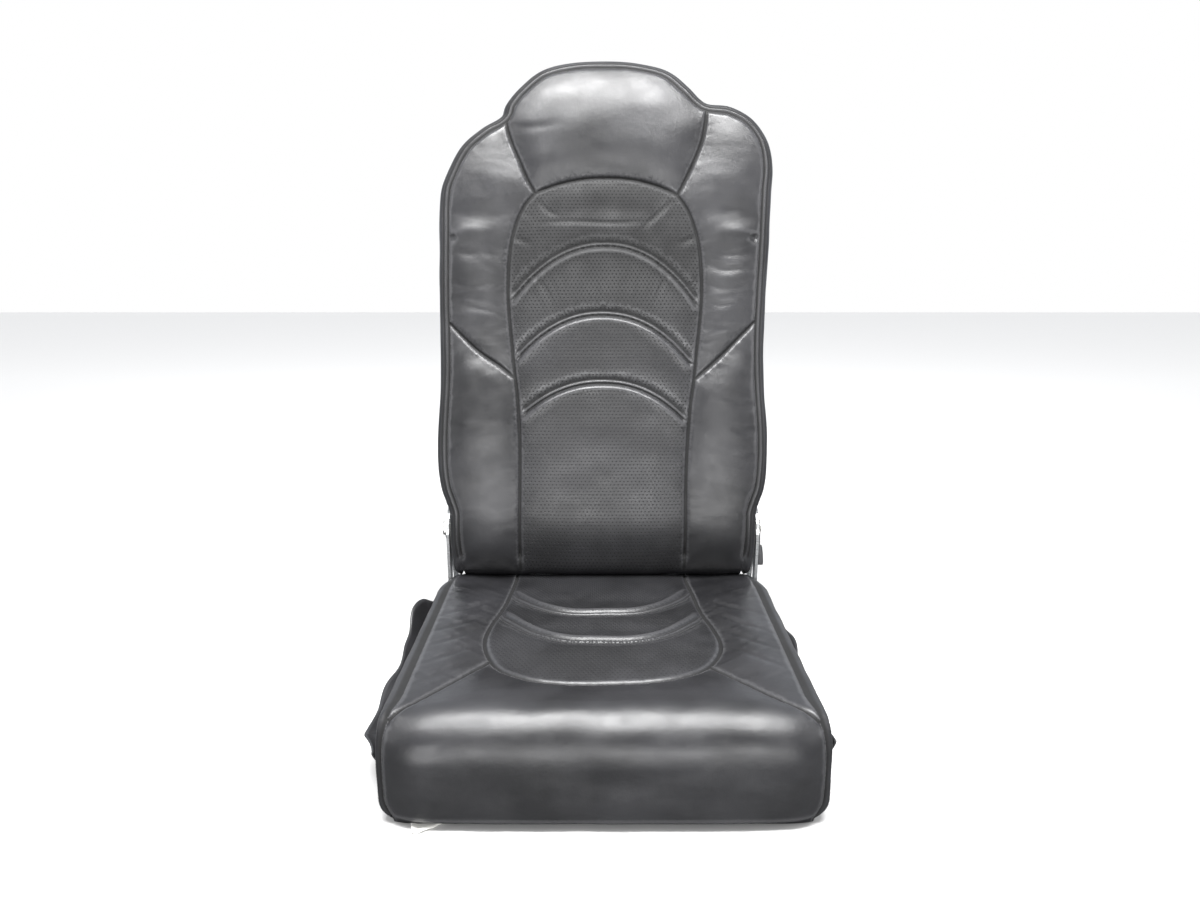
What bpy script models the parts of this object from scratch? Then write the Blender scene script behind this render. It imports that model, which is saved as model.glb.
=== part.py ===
"""Aircraft passenger seat: a padded cushion on a pressed pan, a back that reclines and folds, a release lever.

Metres, +Z up. The seat faces -Y, and its origin lies on the underside of the pan, under the middle of the
cushion. The back is modelled upright about its own pivot (x across, -y forward, z up the back) and hangs on
an empty that stands at the pivot and leans it back.
"""

import math

import bmesh
import bpy
from mathutils import Vector

# Clearances and sheet
GAP = 0.0003
SHEET = 0.0016
LEATHER = 0.0018
RUNNING = 0.0020

# Cushion
CUSHION_HALF_WIDTH = 0.2415
CUSHION_FRONT = -0.225
CUSHION_REAR = 0.248
CUSHION_TOP = 0.127
CUSHION_WAIST = 0.085
CUSHION_FRONT_ROUND = 0.050
CUSHION_EDGE_ROUND = 0.012
CUSHION_CORNER = 0.030
CUSHION_TUCK = 0.006
CUSHION_CROWN = 0.004
CUSHION_CROWN_Y = 0.020
CUSHION_REAR_CORNER = 0.060
COVER_HEM = 0.006
COVER_LIFT = 0.0020

# Pan
PAN_SETBACK = 0.0165
PAN_REAR = 0.318
PAN_RIM = 0.014
PAN_BEND = 0.003
PAN_CORNER = 0.024
EAR_FRONT = 0.252
EAR_HEIGHT = 0.044
RELIEF_FRONT = 0.180
REAR_LIP = 0.012
HOLE_RADIUS = 0.042
HOLE_LIP = 0.0030
HOLE_COLUMNS = 3
HOLE_ROWS = 2
HOLE_PITCH_X = 0.140
HOLE_PITCH_Y = 0.180
HOLE_FIRST_Y = -0.090
CROSSMEMBER_HEIGHT = 0.024
CROSSMEMBER_WIDTH = 0.030
CROSSMEMBER_FLANGE = 0.009
CROSSMEMBER_LEAN = 0.003
CROSSMEMBER_Y = 0.284

# Pivot and hinge plates
PIVOT_Y = 0.262
PIVOT_Z = 0.190
RECLINE = math.radians(12.0)
PLATE_INSET = 0.0125
PLATE_INNER = CUSHION_HALF_WIDTH - PLATE_INSET
PLATE_THICKNESS = 0.004
PLATE_HEAD = 0.036
PLATE_FOOT = 0.010
PLATE_FOOT_Z = 0.014
PLATE_FOOT_FRONT = 0.248
PLATE_FOOT_REAR = 0.306
WINDOW_EDGE = 0.009
WINDOW_WEB = 0.022
WINDOW_TOP_RADIUS = 0.011
WINDOW_FOOT_RADIUS = 0.0085
WINDOW_FOOT_Z = 0.066
BOLT_Z = 0.026
BOLT_FRONT = 0.264
BOLT_REAR = 0.301
BOLT_RADIUS = 0.004
BOLT_HEAD = 0.0072
BOLT_HEAD_HEIGHT = 0.0045

# Recliner, cross shaft and lever
RECLINER_RADIUS = 0.030
RECLINER_FIXED = 0.0062
RECLINER_MOVING = 0.0078
FLANGE_THICKNESS = 0.005
FLANGE_HUB = 0.004
FLANGE_RIM = 0.002
RECLINER_LAP = 0.002
SHAFT_RADIUS = 0.006
SHAFT_END = 0.004
COLLAR_WIDTH = 0.0035
BUSH_WALL = 0.0033
BUSH_FLANGE = 0.013
BUSH_FLANGE_THICKNESS = 0.0012
LEVER_THICKNESS = 0.0035
LEVER_HUB = 0.014
LEVER_WAIST = 0.0055
LEVER_LENGTH = 0.056
LEVER_LEAN = math.radians(17.0)
GRIP_LENGTH = 0.030
GRIP_WIDTH = 0.024
GRIP_THICKNESS = 0.0088
GRIP_CORNER = 0.0025
GRIP_CAP = 0.006
SCREW_HEAD = 0.0085
SCREW_HEAD_HEIGHT = 0.0025
SPRING_INNER = 0.0085
SPRING_OUTER = 0.019
SPRING_TURNS = 2.5
SPRING_STRIP = 0.0008
SPRING_WIDTH = 0.0032
SPRING_PIN_RADIUS = 0.002
# The grip down its length: the share of the length, of the width and of the thickness.
GRIP_SECTIONS = (
    (0.0, 0.62, 0.72), (0.12, 0.78, 0.90), (0.45, 0.96, 1.0),
    (0.85, 1.0, 1.0), (0.97, 0.96, 0.94), (1.0, 0.86, 0.80),
)

# Back
BACK_FRONT = 0.064
BACK_REAR = 0.046
BACK_EDGE_ROUND = 0.020
BACK_REAR_ROUND = 0.012
BACK_HALF_WIDTH = 0.240
BACK_WAIST = PLATE_INNER - RECLINER_FIXED - GAP
WAIST_CORNER = 0.040
BACK_HEIGHT = 0.689
FLARE_START = 0.032
BOLSTER_PROUD = 0.008
HEAD_PROUD = 0.010
HEAD_SEAM = 0.718 * BACK_HEIGHT
HEAD_RAMP = 0.035
REAR_OPENING = 0.026
SHELL_INSET = 0.018
SHELL_THICKNESS = 0.003
SHELL_DISH = 0.006
SHELL_BEVEL = 0.002
SHELL_WALL = 0.006
SIDE_HOLE = 0.0345

# Frame inside the back
HOOP_HALF_WIDTH = 0.165
HOOP_BELOW_SEAM = 0.050
HOOP_TOP = HEAD_SEAM - HOOP_BELOW_SEAM
HOOP_RADIUS = 0.011
POCKET_SIDE = 0.016
POCKET_ABOVE = 0.019
POCKET_HALF_WIDTH = HOOP_HALF_WIDTH + HOOP_RADIUS + POCKET_SIDE
POCKET_TOP = HOOP_TOP + HOOP_RADIUS + POCKET_ABOVE
POCKET_ROLL = 0.037
HOOP_BEND = 0.060
HOOP_DEPTH = 0.003
TUBE_WALL = 0.0015
CROSS_TUBE_RADIUS = 0.016
CROSS_TUBE_WALL = 0.0025
SOCKET_WALL = 0.0025
SOCKET_LENGTH = 0.034
MID_TUBE_RADIUS = 0.008
MID_TUBE_Z = 0.65 * HOOP_TOP
STRAP_THICKNESS = 0.003
STRAP_WIDTH = 0.045
STRAP_HEIGHTS = (0.25 * HOOP_TOP, 0.43 * HOOP_TOP, 0.79 * HOOP_TOP)
HEAD_STAY_RADIUS = 0.006
HEAD_STAY_HALF_WIDTH = 0.060
HEAD_STAY_BELOW_TOP = 0.064
HEAD_STAY_TOP = BACK_HEIGHT - HEAD_STAY_BELOW_TOP
HEAD_STAY_BEND = 0.030
HEAD_POCKET_ABOVE = 0.020
HEAD_POCKET_TOP = HEAD_STAY_TOP + HEAD_POCKET_ABOVE
STANDOFF_RADIUS = 0.006
STANDOFF_HEIGHTS = (0.32 * HOOP_TOP, 0.88 * HOOP_TOP)
SHELL_SCREW_RADIUS = 0.0022
SHELL_SCREW_HEAD = 0.0055
SHELL_SCREW_HEAD_HEIGHT = 0.0024
SHELL_SCREW_LENGTH = 0.009

# Side flaps and underside liner
FLAP_THICKNESS = 0.0022
LINER_THICKNESS = 0.0006
LINER_SHOW = 0.0015
TAPE_THICKNESS = 0.0018
# The flaps from rear to front: y, the height of the seam, and the reach outwards and the rise of the free edge.
LEFT_FLAP = (
    (0.170, 0.068, 0.018, 0.036), (0.130, 0.060, 0.026, 0.028), (0.080, 0.052, 0.030, 0.018),
    (0.010, 0.047, 0.034, 0.010), (-0.060, 0.045, 0.038, 0.006), (-0.110, 0.048, 0.034, 0.006),
    (-0.160, 0.056, 0.018, 0.008), (-0.195, 0.066, 0.008, 0.008),
)
RIGHT_FLAP = (
    (0.200, 0.056, 0.018, 0.014), (0.150, 0.052, 0.026, 0.016), (0.090, 0.050, 0.024, 0.016),
    (0.020, 0.050, 0.015, 0.014), (-0.060, 0.052, 0.010, 0.014), (-0.130, 0.060, 0.008, 0.014),
    (-0.195, 0.078, 0.008, 0.012),
)
# The loose corner of the liner at the front left: the share of the liner's half width, and how far its edge
# lies behind the liner's front.
LINER_CORNER = ((0.68, 0.0), (0.75, -0.004), (0.82, -0.001), (0.89, -0.011), (0.96, 0.004))

PLATE_OUTER = PLATE_INNER + PLATE_THICKNESS
PAN_HALF_WIDTH = PLATE_INNER - GAP
PAN_FRONT = CUSHION_FRONT + PAN_SETBACK
FOAM_OFFSET = LEATHER + 2.0 * GAP
HUB_INNER = PLATE_OUTER + GAP + BUSH_FLANGE_THICKNESS + GAP
HOLE_CLEARANCE = 0.0004
# How far a cutting tool reaches past the face it cuts
CUT = 0.010

# The back's outline above its waist, from the left flare over the head to the right flare: the share of
# the half width, and the share of the height above the pivot. The right shoulder is the squarer one.
ROLL_CORNER_STEPS = 4
BACK_OUTLINE = (
    (-0.954, 0.061), (-0.984, 0.092), (-1.002, 0.145), (-1.002, 0.218), (-0.987, 0.319), (-0.987, 0.406),
    (-0.994, 0.494), (-0.994, 0.610), (-0.990, 0.706), (-0.958, 0.754), (-0.866, 0.816), (-0.740, 0.856),
    (-0.618, 0.882), (-0.585, 0.910), (-0.500, 0.945), (-0.372, 0.980), (-0.190, 0.996), (0.012, 1.000),
    (0.210, 0.996), (0.390, 0.980), (0.520, 0.945), (0.600, 0.912), (0.660, 0.893), (0.790, 0.890),
    (0.925, 0.867), (1.010, 0.828), (1.036, 0.775), (1.026, 0.715), (1.012, 0.610), (0.992, 0.494),
    (0.980, 0.406), (0.982, 0.319), (1.000, 0.218), (1.000, 0.145), (0.984, 0.092), (0.954, 0.061),
)
# The headrest's seam, down the left side, along the lower arc and up the right side, in the same shares.
HEAD_OUTLINE = (
    (-0.70, 1.10), (-0.596, 0.887), (-0.555, 0.824), (-0.460, 0.748), (-0.412, 0.716), (-0.200, 0.743),
    (0.012, 0.748), (0.230, 0.742), (0.452, 0.714), (0.508, 0.745), (0.600, 0.824),
    (0.632, 0.892), (0.75, 1.10),
)


def clear_scene():
    for item in list(bpy.data.objects):
        bpy.data.objects.remove(item, do_unlink=True)


def make_material(name, colour, roughness, metallic=0.0):
    result = bpy.data.materials.new(name)
    result.use_nodes = True
    shader = result.node_tree.nodes["Principled BSDF"]
    shader.inputs["Base Color"].default_value = (*colour, 1.0)
    shader.inputs["Roughness"].default_value = roughness
    shader.inputs["Metallic"].default_value = metallic
    return result


def make_empty(name, location, lean=0.0):
    empty = bpy.data.objects.new(name, None)
    empty.location = location
    empty.rotation_euler.x = lean
    bpy.context.collection.objects.link(empty)
    return empty


def make_object(name, bm, finish=None, parent=None, smooth_angle=35.0):
    """Closes a bmesh into a named object with outward faces."""
    bmesh.ops.recalc_face_normals(bm, faces=bm.faces[:])
    mesh = bpy.data.meshes.new(name)
    bm.to_mesh(mesh)
    bm.free()
    item = bpy.data.objects.new(name, mesh)
    bpy.context.collection.objects.link(item)
    item.parent = parent
    if finish is not None:
        mesh.materials.append(finish)
    mesh.shade_smooth()
    mesh.set_sharp_from_angle(angle=math.radians(smooth_angle))
    return item


def combine(item, tool_bm, operation="DIFFERENCE"):
    """Adds a Boolean modifier to an object, with the tool as a hidden wire guide beside it."""
    number = len(item.modifiers) + 1
    tool = make_object(f"{item.name}_tool_{number}", tool_bm, None, item.parent)
    tool.hide_render = True
    tool.display_type = "WIRE"
    modifier = item.modifiers.new(f"{operation.lower()}_{number}", "BOOLEAN")
    modifier.operation = operation
    modifier.solver = "EXACT"
    modifier.object = tool
    return item


def loft(rings, bm=None, keel=None, flipped=None):
    """Joins rings of equally many points into one closed body, with a face over the first and the last.

    With a keel, which is the place in the ring of its lowest point and the number of points each way that
    lie level with it, both ends are filled by a flat foot and a ladder of faces from side to side instead,
    which lets an end be curved. With flipped given, every quad is cut in two, along the other diagonal in as
    many first steps as it says, so that the two skins of a padded shape keep their distance where they curve.
    """
    bm = bm or bmesh.new()
    loops = [[bm.verts.new(point) for point in ring] for ring in rings]
    for number, (lower, upper) in enumerate(zip(loops, loops[1:])):
        for k in range(len(lower)):
            following = (k + 1) % len(lower)
            a, b, c, d = lower[k], lower[following], upper[following], upper[k]
            if flipped is None:
                bm.faces.new((a, b, c, d))
            elif number < flipped:
                bm.faces.new((a, b, d))
                bm.faces.new((b, c, d))
            else:
                bm.faces.new((a, b, c))
                bm.faces.new((a, c, d))
    for end in (loops[0], loops[-1]):
        if keel is None:
            bm.faces.new(end)
            continue
        count = len(end)
        lowest, level = keel
        bm.faces.new([end[(lowest + step) % count] for step in range(-level, level + 1)])
        for k in range(level, count // 2):
            a, b, c, d = [end[(lowest + step) % count] for step in (k, k + 1, -k - 1, -k)]
            bm.faces.new((a, b, d))
            bm.faces.new((b, c, d))
    return bm


def circle(cy, cz, radius, steps=24, start=0.0, sweep=2.0 * math.pi):
    """Points of a circle, or of an arc, in the plane across x."""
    closed = abs(sweep) >= 2.0 * math.pi - 1e-6
    count = steps if closed else steps + 1
    return [
        (cy + radius * math.cos(start + sweep * k / steps), cz + radius * math.sin(start + sweep * k / steps))
        for k in range(count)
    ]


def prism(outline, x0, x1, bm=None):
    """An outline of (y, z) points drawn out along x."""
    return loft([[(x, y, z) for y, z in outline] for x in (x0, x1)], bm)


def depth_prism(outline, y0, y1):
    """An outline of (x, z) points drawn out along y."""
    return loft([[(x, y, z) for x, z in outline] for y in (y0, y1)])


def flat_prism(outline, z0, z1):
    """An outline of (x, y) points drawn out along z."""
    return loft([[(x, y, z) for x, y in outline] for z in (z0, z1)])


def box(x0, x1, y0, y1, z0, z1, bm=None):
    return prism([(y0, z0), (y1, z0), (y1, z1), (y0, z1)], x0, x1, bm)


def turned(profile, centre=(0.0, 0.0), steps=24, bm=None, sides=None):
    """A closed profile of (x, radius) points turned about an axis along x through centre (y, z)."""
    bm = bm or bmesh.new()
    rings = [[bm.verts.new((x, *point)) for point in circle(*centre, r, sides or steps)] for x, r in profile]
    rings.append(rings[0])
    for inner, outer in zip(rings, rings[1:]):
        for k in range(len(inner)):
            following = (k + 1) % len(inner)
            bm.faces.new((inner[k], inner[following], outer[following], outer[k]))
    return bm


def disc(x0, x1, radius, centre=(0.0, 0.0), steps=24, bm=None):
    return loft([[(x, *point) for point in circle(*centre, radius, steps)] for x in (x0, x1)], bm)


def hull_outline(circles, steps=40):
    """The outline of a belt drawn tight round circles given as (y, z, radius)."""
    points = [point for y, z, radius in circles for point in circle(y, z, radius, steps)]
    points = sorted(set((round(y, 7), round(z, 7)) for y, z in points))

    def chain(ordered):
        result = []
        for point in ordered:
            while len(result) > 1 and cross(result[-2], result[-1], point) <= 0:
                result.pop()
            result.append(point)
        return result[:-1]

    def cross(a, b, c):
        return (b[0] - a[0]) * (c[1] - a[1]) - (b[1] - a[1]) * (c[0] - a[0])

    return chain(points) + chain(list(reversed(points)))


def rounded(corners, steps=4, divisions=None):
    """A closed outline through corners given as (u, v, radius), with each corner rounded by an arc."""
    result = []
    count = len(corners)
    for k in range(count):
        here = Vector(corners[k][:2])
        before = (Vector(corners[k - 1][:2]) - here).normalized()
        after = (Vector(corners[(k + 1) % count][:2]) - here).normalized()
        half = before.angle(after) / 2.0
        reach = corners[k][2] / math.tan(half)
        start, end = here + before * reach, here + after * reach
        centre = here + (before + after).normalized() * (corners[k][2] / math.sin(half))
        first = math.atan2(*(start - centre).yx)
        turn = math.atan2(*(end - centre).yx) - first
        turn = (turn + math.pi) % (2.0 * math.pi) - math.pi
        radius = corners[k][2]
        for step in range(steps + 1):
            angle = first + turn * step / steps
            result.append((centre.x + radius * math.cos(angle), centre.y + radius * math.sin(angle)))
        if divisions:
            following = Vector(corners[(k + 1) % count][:2])
            after_half = (here - following).angle(Vector(corners[(k + 2) % count][:2]) - following) / 2.0
            stop = following - after * (corners[(k + 1) % count][2] / math.tan(after_half))
            for step in range(1, divisions[k]):
                result.append(tuple(end.lerp(stop, step / divisions[k])))
    return result


def spline(points, divisions):
    """Points along a smooth open curve through the given ones."""
    padded = [points[0], *points, points[-1]]
    result = []
    for a, b, c, d in zip(padded, padded[1:], padded[2:], padded[3:]):
        for step in range(divisions):
            t = step / divisions
            result.append(tuple(
                q + 0.5 * t * (r - p + t * (2 * p - 5 * q + 4 * r - s + t * (3 * q - p - 3 * r + s)))
                for p, q, r, s in zip(a, b, c, d)
            ))
    result.append(tuple(points[-1]))
    return result


def inward_normals(outline):
    """The inward unit normal at each point of a closed outline that runs clockwise or anticlockwise."""
    count = len(outline)
    area = sum(outline[k - 1][0] * outline[k][1] - outline[k][0] * outline[k - 1][1] for k in range(count))
    turn = 1.0 if area > 0 else -1.0
    normals = []
    for k in range(count):
        along = Vector(outline[(k + 1) % count]) - Vector(outline[k - 1])
        normals.append(Vector((-along.y, along.x)).normalized() * turn)
    return normals


def smoothstep(low, high, value):
    t = min(max((value - low) / (high - low), 0.0), 1.0)
    return t * t * (3.0 - 2.0 * t)


def swept_tube(name, path, radius, wall, finish, parent, sides=10):
    """A hollow tube along a path of points, open at both ends."""
    curve = bpy.data.curves.new(name, "CURVE")
    curve.dimensions = "3D"
    curve.bevel_depth = radius
    curve.bevel_resolution = (sides - 4) // 2
    line = curve.splines.new("POLY")
    line.points.add(len(path) - 1)
    for slot, point in zip(line.points, path):
        slot.co = (*point, 1.0)
    guide = bpy.data.objects.new(f"{name}_path", curve)
    bpy.context.collection.objects.link(guide)
    mesh = bpy.data.meshes.new_from_object(guide.evaluated_get(bpy.context.evaluated_depsgraph_get()))
    bpy.data.objects.remove(guide, do_unlink=True)
    bm = bmesh.new()
    bm.from_mesh(mesh)
    bpy.data.meshes.remove(mesh)
    bmesh.ops.remove_doubles(bm, verts=bm.verts[:], dist=1e-6)
    item = make_object(name, bm, finish, parent)
    solid = item.modifiers.new("wall", "SOLIDIFY")
    solid.thickness = wall
    solid.offset = -1.0
    solid.use_even_offset = True
    return item


def bent_path(corners, bends, steps=6):
    """A path in the plane across y, given as (x, z) corners with a bend radius at each inner one."""
    path = [corners[0]]
    for k in range(1, len(corners) - 1):
        here = Vector(corners[k])
        before = (Vector(corners[k - 1]) - here).normalized()
        after = (Vector(corners[k + 1]) - here).normalized()
        half = before.angle(after) / 2.0
        centre = here + (before + after).normalized() * (bends[k - 1] / math.sin(half))
        start = here + before * (bends[k - 1] / math.tan(half))
        first = math.atan2(*(start - centre).yx)
        end = here + after * (bends[k - 1] / math.tan(half))
        turn = (math.atan2(*(end - centre).yx) - first + math.pi) % (2.0 * math.pi) - math.pi
        for step in range(steps + 1):
            angle = first + turn * step / steps
            path.append((centre.x + bends[k - 1] * math.cos(angle), centre.y + bends[k - 1] * math.sin(angle)))
    path.append(corners[-1])
    return path


# Cushion


def cushion_outline():
    """The cushion in plan, its rear corners rounded more, to pass in front of the hinge plates."""
    w = CUSHION_HALF_WIDTH
    corners = (
        (-w, CUSHION_FRONT, CUSHION_CORNER), (w, CUSHION_FRONT, CUSHION_CORNER),
        (w, CUSHION_REAR, CUSHION_REAR_CORNER), (-w, CUSHION_REAR, CUSHION_REAR_CORNER),
    )
    return rounded(corners, steps=5, divisions=(4, 4, 4, 4))


def cushion_ring(z, share, offset, tuck=0.0):
    """One level of the cushion, where share goes from 0 at its widest to 1 at the top face."""
    outline = cushion_outline()
    inset = offset + tuck + (CUSHION_EDGE_ROUND - offset) * share
    draw = (CUSHION_FRONT_ROUND - CUSHION_EDGE_ROUND) * share
    ring = []
    for (x, y), inward in zip(outline, inward_normals(outline)):
        front = draw * smoothstep(0.4 * CUSHION_FRONT, CUSHION_FRONT, y)
        ring.append((x + inward.x * inset, y + inward.y * inset + front, z))
    return ring


def cushion_rings(offset):
    """The cushion from just above its tucked lower edge to the middle of its crowned top."""
    top = CUSHION_TOP - offset
    rise = top - CUSHION_WAIST
    rings = []
    for degrees in (0, 25, 50, 70, 90):
        angle = math.radians(degrees)
        rings.append(cushion_ring(CUSHION_WAIST + rise * math.sin(angle), 1.0 - math.cos(angle), offset))
    for pull, crown in ((0.15, 0.7), (0.45, 1.0), (0.80, 1.0)):
        rings.append([
            (x * (1.0 - pull), y + (CUSHION_CROWN_Y - y) * pull * 0.9, z + CUSHION_CROWN * crown)
            for x, y, z in rings[4]
        ])
    return rings


def cushion_wall(offset, floor):
    """The lower wall, which tucks in towards the floor."""
    rings = []
    for share in (1.0, 0.5):
        z = floor + (CUSHION_WAIST - floor) * (1.0 - share)
        rings.append(cushion_ring(z, 0.0, offset, CUSHION_TUCK * share ** 2))
    return rings


def build_cushion(base, finishes):
    hem = [(x, y, COVER_LIFT) for x, y, _ in cushion_ring(0.0, 0.0, 0.0, CUSHION_TUCK + COVER_HEM)]
    inner_floor = COVER_LIFT + LEATHER
    inner_hem = [(x, y, inner_floor) for x, y, _ in hem]
    outer = [hem, *cushion_wall(0.0, COVER_LIFT), *cushion_rings(0.0)]
    inner = [inner_hem, *cushion_wall(LEATHER, inner_floor), *cushion_rings(LEATHER)]
    cover = loft(list(reversed(outer)) + inner, flipped=len(outer))
    make_object("seat_cover", cover, finishes["leather"], base)

    seat = PAN_SETBACK + SHEET + PAN_BEND
    rim_top = PAN_RIM + GAP
    lower = [
        cushion_ring(SHEET + HOLE_LIP + GAP, 0.0, seat),
        cushion_ring(rim_top, 0.0, seat),
        cushion_ring(rim_top, 0.0, FOAM_OFFSET, CUSHION_TUCK),
        cushion_ring((rim_top + CUSHION_WAIST) / 2.0, 0.0, FOAM_OFFSET, CUSHION_TUCK / 4.0),
    ]
    make_object("seat_foam", loft(lower + cushion_rings(FOAM_OFFSET), flipped=0), finishes["foam"], base)


# Pan and hinge plates


def pan_ring(z, inset):
    w = PAN_HALF_WIDTH - inset
    radius = PAN_CORNER - inset
    corners = (
        (-w, PAN_FRONT + inset, radius), (w, PAN_FRONT + inset, radius),
        (w, PAN_REAR - inset, PAN_BEND + SHEET), (-w, PAN_REAR - inset, PAN_BEND + SHEET),
    )
    return [(x, y, z) for x, y in rounded(corners, steps=5)]


def hole_places():
    return [
        ((column - (HOLE_COLUMNS - 1) / 2.0) * HOLE_PITCH_X, HOLE_FIRST_Y + row * HOLE_PITCH_Y)
        for column in range(HOLE_COLUMNS)
        for row in range(HOLE_ROWS)
    ]


def upright(places, radius, z0, z1, steps=20):
    """Upright round bars at places (x, y)."""
    bm = bmesh.new()
    for x, y in places:
        outline = circle(x, y, radius, steps)
        loft([[(px, py, z) for px, py in outline] for z in (z0, z1)], bm)
    return bm


def build_pan(base, finishes):
    bend = PAN_BEND + SHEET
    outer = [
        pan_ring(0.0, bend), pan_ring(bend * 0.3, bend * 0.3), pan_ring(bend, 0.0), pan_ring(EAR_HEIGHT, 0.0),
    ]
    inner = [
        pan_ring(EAR_HEIGHT, SHEET), pan_ring(bend, SHEET),
        pan_ring(SHEET + PAN_BEND * 0.3, SHEET + PAN_BEND * 0.3), pan_ring(SHEET, bend),
    ]
    pan = make_object("seat_pan", loft(outer + inner), finishes["aluminium"], base)
    far = 2.0 * PAN_HALF_WIDTH
    combine(pan, box(-far, far, PAN_FRONT - far, RELIEF_FRONT, PAN_RIM, far))
    combine(pan, box(-far, far, RELIEF_FRONT, EAR_FRONT, SHEET, far))
    between = PAN_HALF_WIDTH - bend
    combine(pan, box(-between, between, EAR_FRONT, PAN_REAR + bend, REAR_LIP, far))
    combine(pan, upright(hole_places(), HOLE_RADIUS + SHEET, SHEET / 2.0, SHEET + HOLE_LIP), "UNION")
    combine(pan, upright(hole_places(), HOLE_RADIUS, -SHEET, 2.0 * (SHEET + HOLE_LIP)))
    drill = bmesh.new()
    for y in (BOLT_FRONT, BOLT_REAR):
        disc(-far, far, BOLT_RADIUS + HOLE_CLEARANCE, (y, BOLT_Z), 16, drill)
    combine(pan, drill)


def strip_outline(path, thickness):
    """The closed outline of a folded strip whose lower face follows the path."""
    upper = []
    for k, point in enumerate(path):
        here = Vector(point)
        before = (here - Vector(path[k - 1])).normalized() if k else None
        after = (Vector(path[k + 1]) - here).normalized() if k + 1 < len(path) else None
        before = before or after
        after = after or before
        side = Vector((-before.y, before.x)) + Vector((-after.y, after.x))
        upper.append(tuple(here + side / (1.0 + before.dot(after)) * thickness))
    return list(path) + list(reversed(upper))


def build_crossmember(base, finishes):
    floor = SHEET + GAP
    half, top = CROSSMEMBER_WIDTH / 2.0, CROSSMEMBER_HEIGHT
    crown = half - CROSSMEMBER_LEAN
    foot = half + CROSSMEMBER_FLANGE
    path = [
        (CROSSMEMBER_Y + u, z)
        for u, z in ((-foot, floor), (-half, floor), (-crown, top), (crown, top), (half, floor), (foot, floor))
    ]
    reach = PAN_HALF_WIDTH - SHEET - BOLT_HEAD_HEIGHT - 4.0 * GAP
    channel = prism(strip_outline(path, SHEET), -reach, reach)
    make_object("rear_crossmember", channel, finishes["aluminium"], base)


def build_hinge_side(side, name, base, finishes):
    """The plate, bush, fixed recliner disc and bolts on one side; side is -1 on the left and 1 on the right."""
    pivot = (PIVOT_Y, PIVOT_Z)
    outline = hull_outline((
        (*pivot, PLATE_HEAD),
        (PLATE_FOOT_FRONT, PLATE_FOOT_Z, PLATE_FOOT),
        (PLATE_FOOT_REAR, PLATE_FOOT_Z, PLATE_FOOT),
    ), 28)
    plate = make_object(
        f"hinge_plate_{name}", prism(outline, side * PLATE_INNER, side * PLATE_OUTER),
        finishes["aluminium"], base
    )
    window = hull_outline((
        (PIVOT_Y, PIVOT_Z - PLATE_HEAD - WINDOW_WEB, WINDOW_TOP_RADIUS),
        (PLATE_FOOT_FRONT + WINDOW_EDGE, WINDOW_FOOT_Z, WINDOW_FOOT_RADIUS),
        (PLATE_FOOT_REAR - 2.0 * WINDOW_EDGE, WINDOW_FOOT_Z, WINDOW_FOOT_RADIUS),
    ), 14)
    through = (side * (PLATE_INNER - CUT), side * (PLATE_OUTER + CUT))
    combine(plate, prism(window, *through))
    drill = disc(*through, SHAFT_RADIUS + BUSH_WALL + HOLE_CLEARANCE, pivot)
    for y in (BOLT_FRONT, BOLT_REAR):
        disc(*through, BOLT_RADIUS + HOLE_CLEARANCE, (y, BOLT_Z), 16, drill)
    combine(plate, drill)

    bore = SHAFT_RADIUS + GAP
    start, stop = PLATE_INNER, PLATE_OUTER + GAP
    profile = (
        (start, bore), (start, bore + BUSH_WALL - GAP), (stop, bore + BUSH_WALL - GAP), (stop, BUSH_FLANGE),
        (stop + BUSH_FLANGE_THICKNESS, BUSH_FLANGE), (stop + BUSH_FLANGE_THICKNESS, bore),
    )
    make_object(
        f"pivot_bush_{name}", turned([(side * x, r) for x, r in profile], pivot, 20), finishes["bronze"], base
    )

    outer = PLATE_INNER - GAP
    inner = outer - RECLINER_FIXED
    step = outer - RECLINER_FIXED * 0.55
    profile = (
        (outer, bore), (outer, RECLINER_RADIUS * 0.72), (step, RECLINER_RADIUS * 0.76), (step, RECLINER_RADIUS),
        (inner, RECLINER_RADIUS), (inner, bore),
    )
    make_object(
        f"recliner_fixed_disc_{name}", turned([(side * x, r) for x, r in profile], pivot, 24),
        finishes["steel"], base
    )

    for y, place in ((BOLT_FRONT, "front"), (BOLT_REAR, "rear")):
        head = PLATE_OUTER + GAP
        nut = PAN_HALF_WIDTH - SHEET - GAP
        profile = (
            (nut - BOLT_HEAD_HEIGHT, BOLT_HEAD), (nut, BOLT_HEAD), (nut, BOLT_RADIUS),
            (head, BOLT_RADIUS), (head, BOLT_HEAD), (head + BOLT_HEAD_HEIGHT, BOLT_HEAD),
        )
        rings = [[(side * x, *point) for point in circle(y, BOLT_Z, r, 12)] for x, r in profile]
        make_object(f"hinge_bolt_{name}_{place}", loft(rings), finishes["steel"], base)


# Side flaps, hook tape and liner


def cushion_side(z):
    """The cushion's half width at a height below its waist."""
    share = min(max((CUSHION_WAIST - z) / (CUSHION_WAIST - COVER_LIFT), 0.0), 1.0)
    return CUSHION_HALF_WIDTH - CUSHION_TUCK * share ** 2


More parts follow.
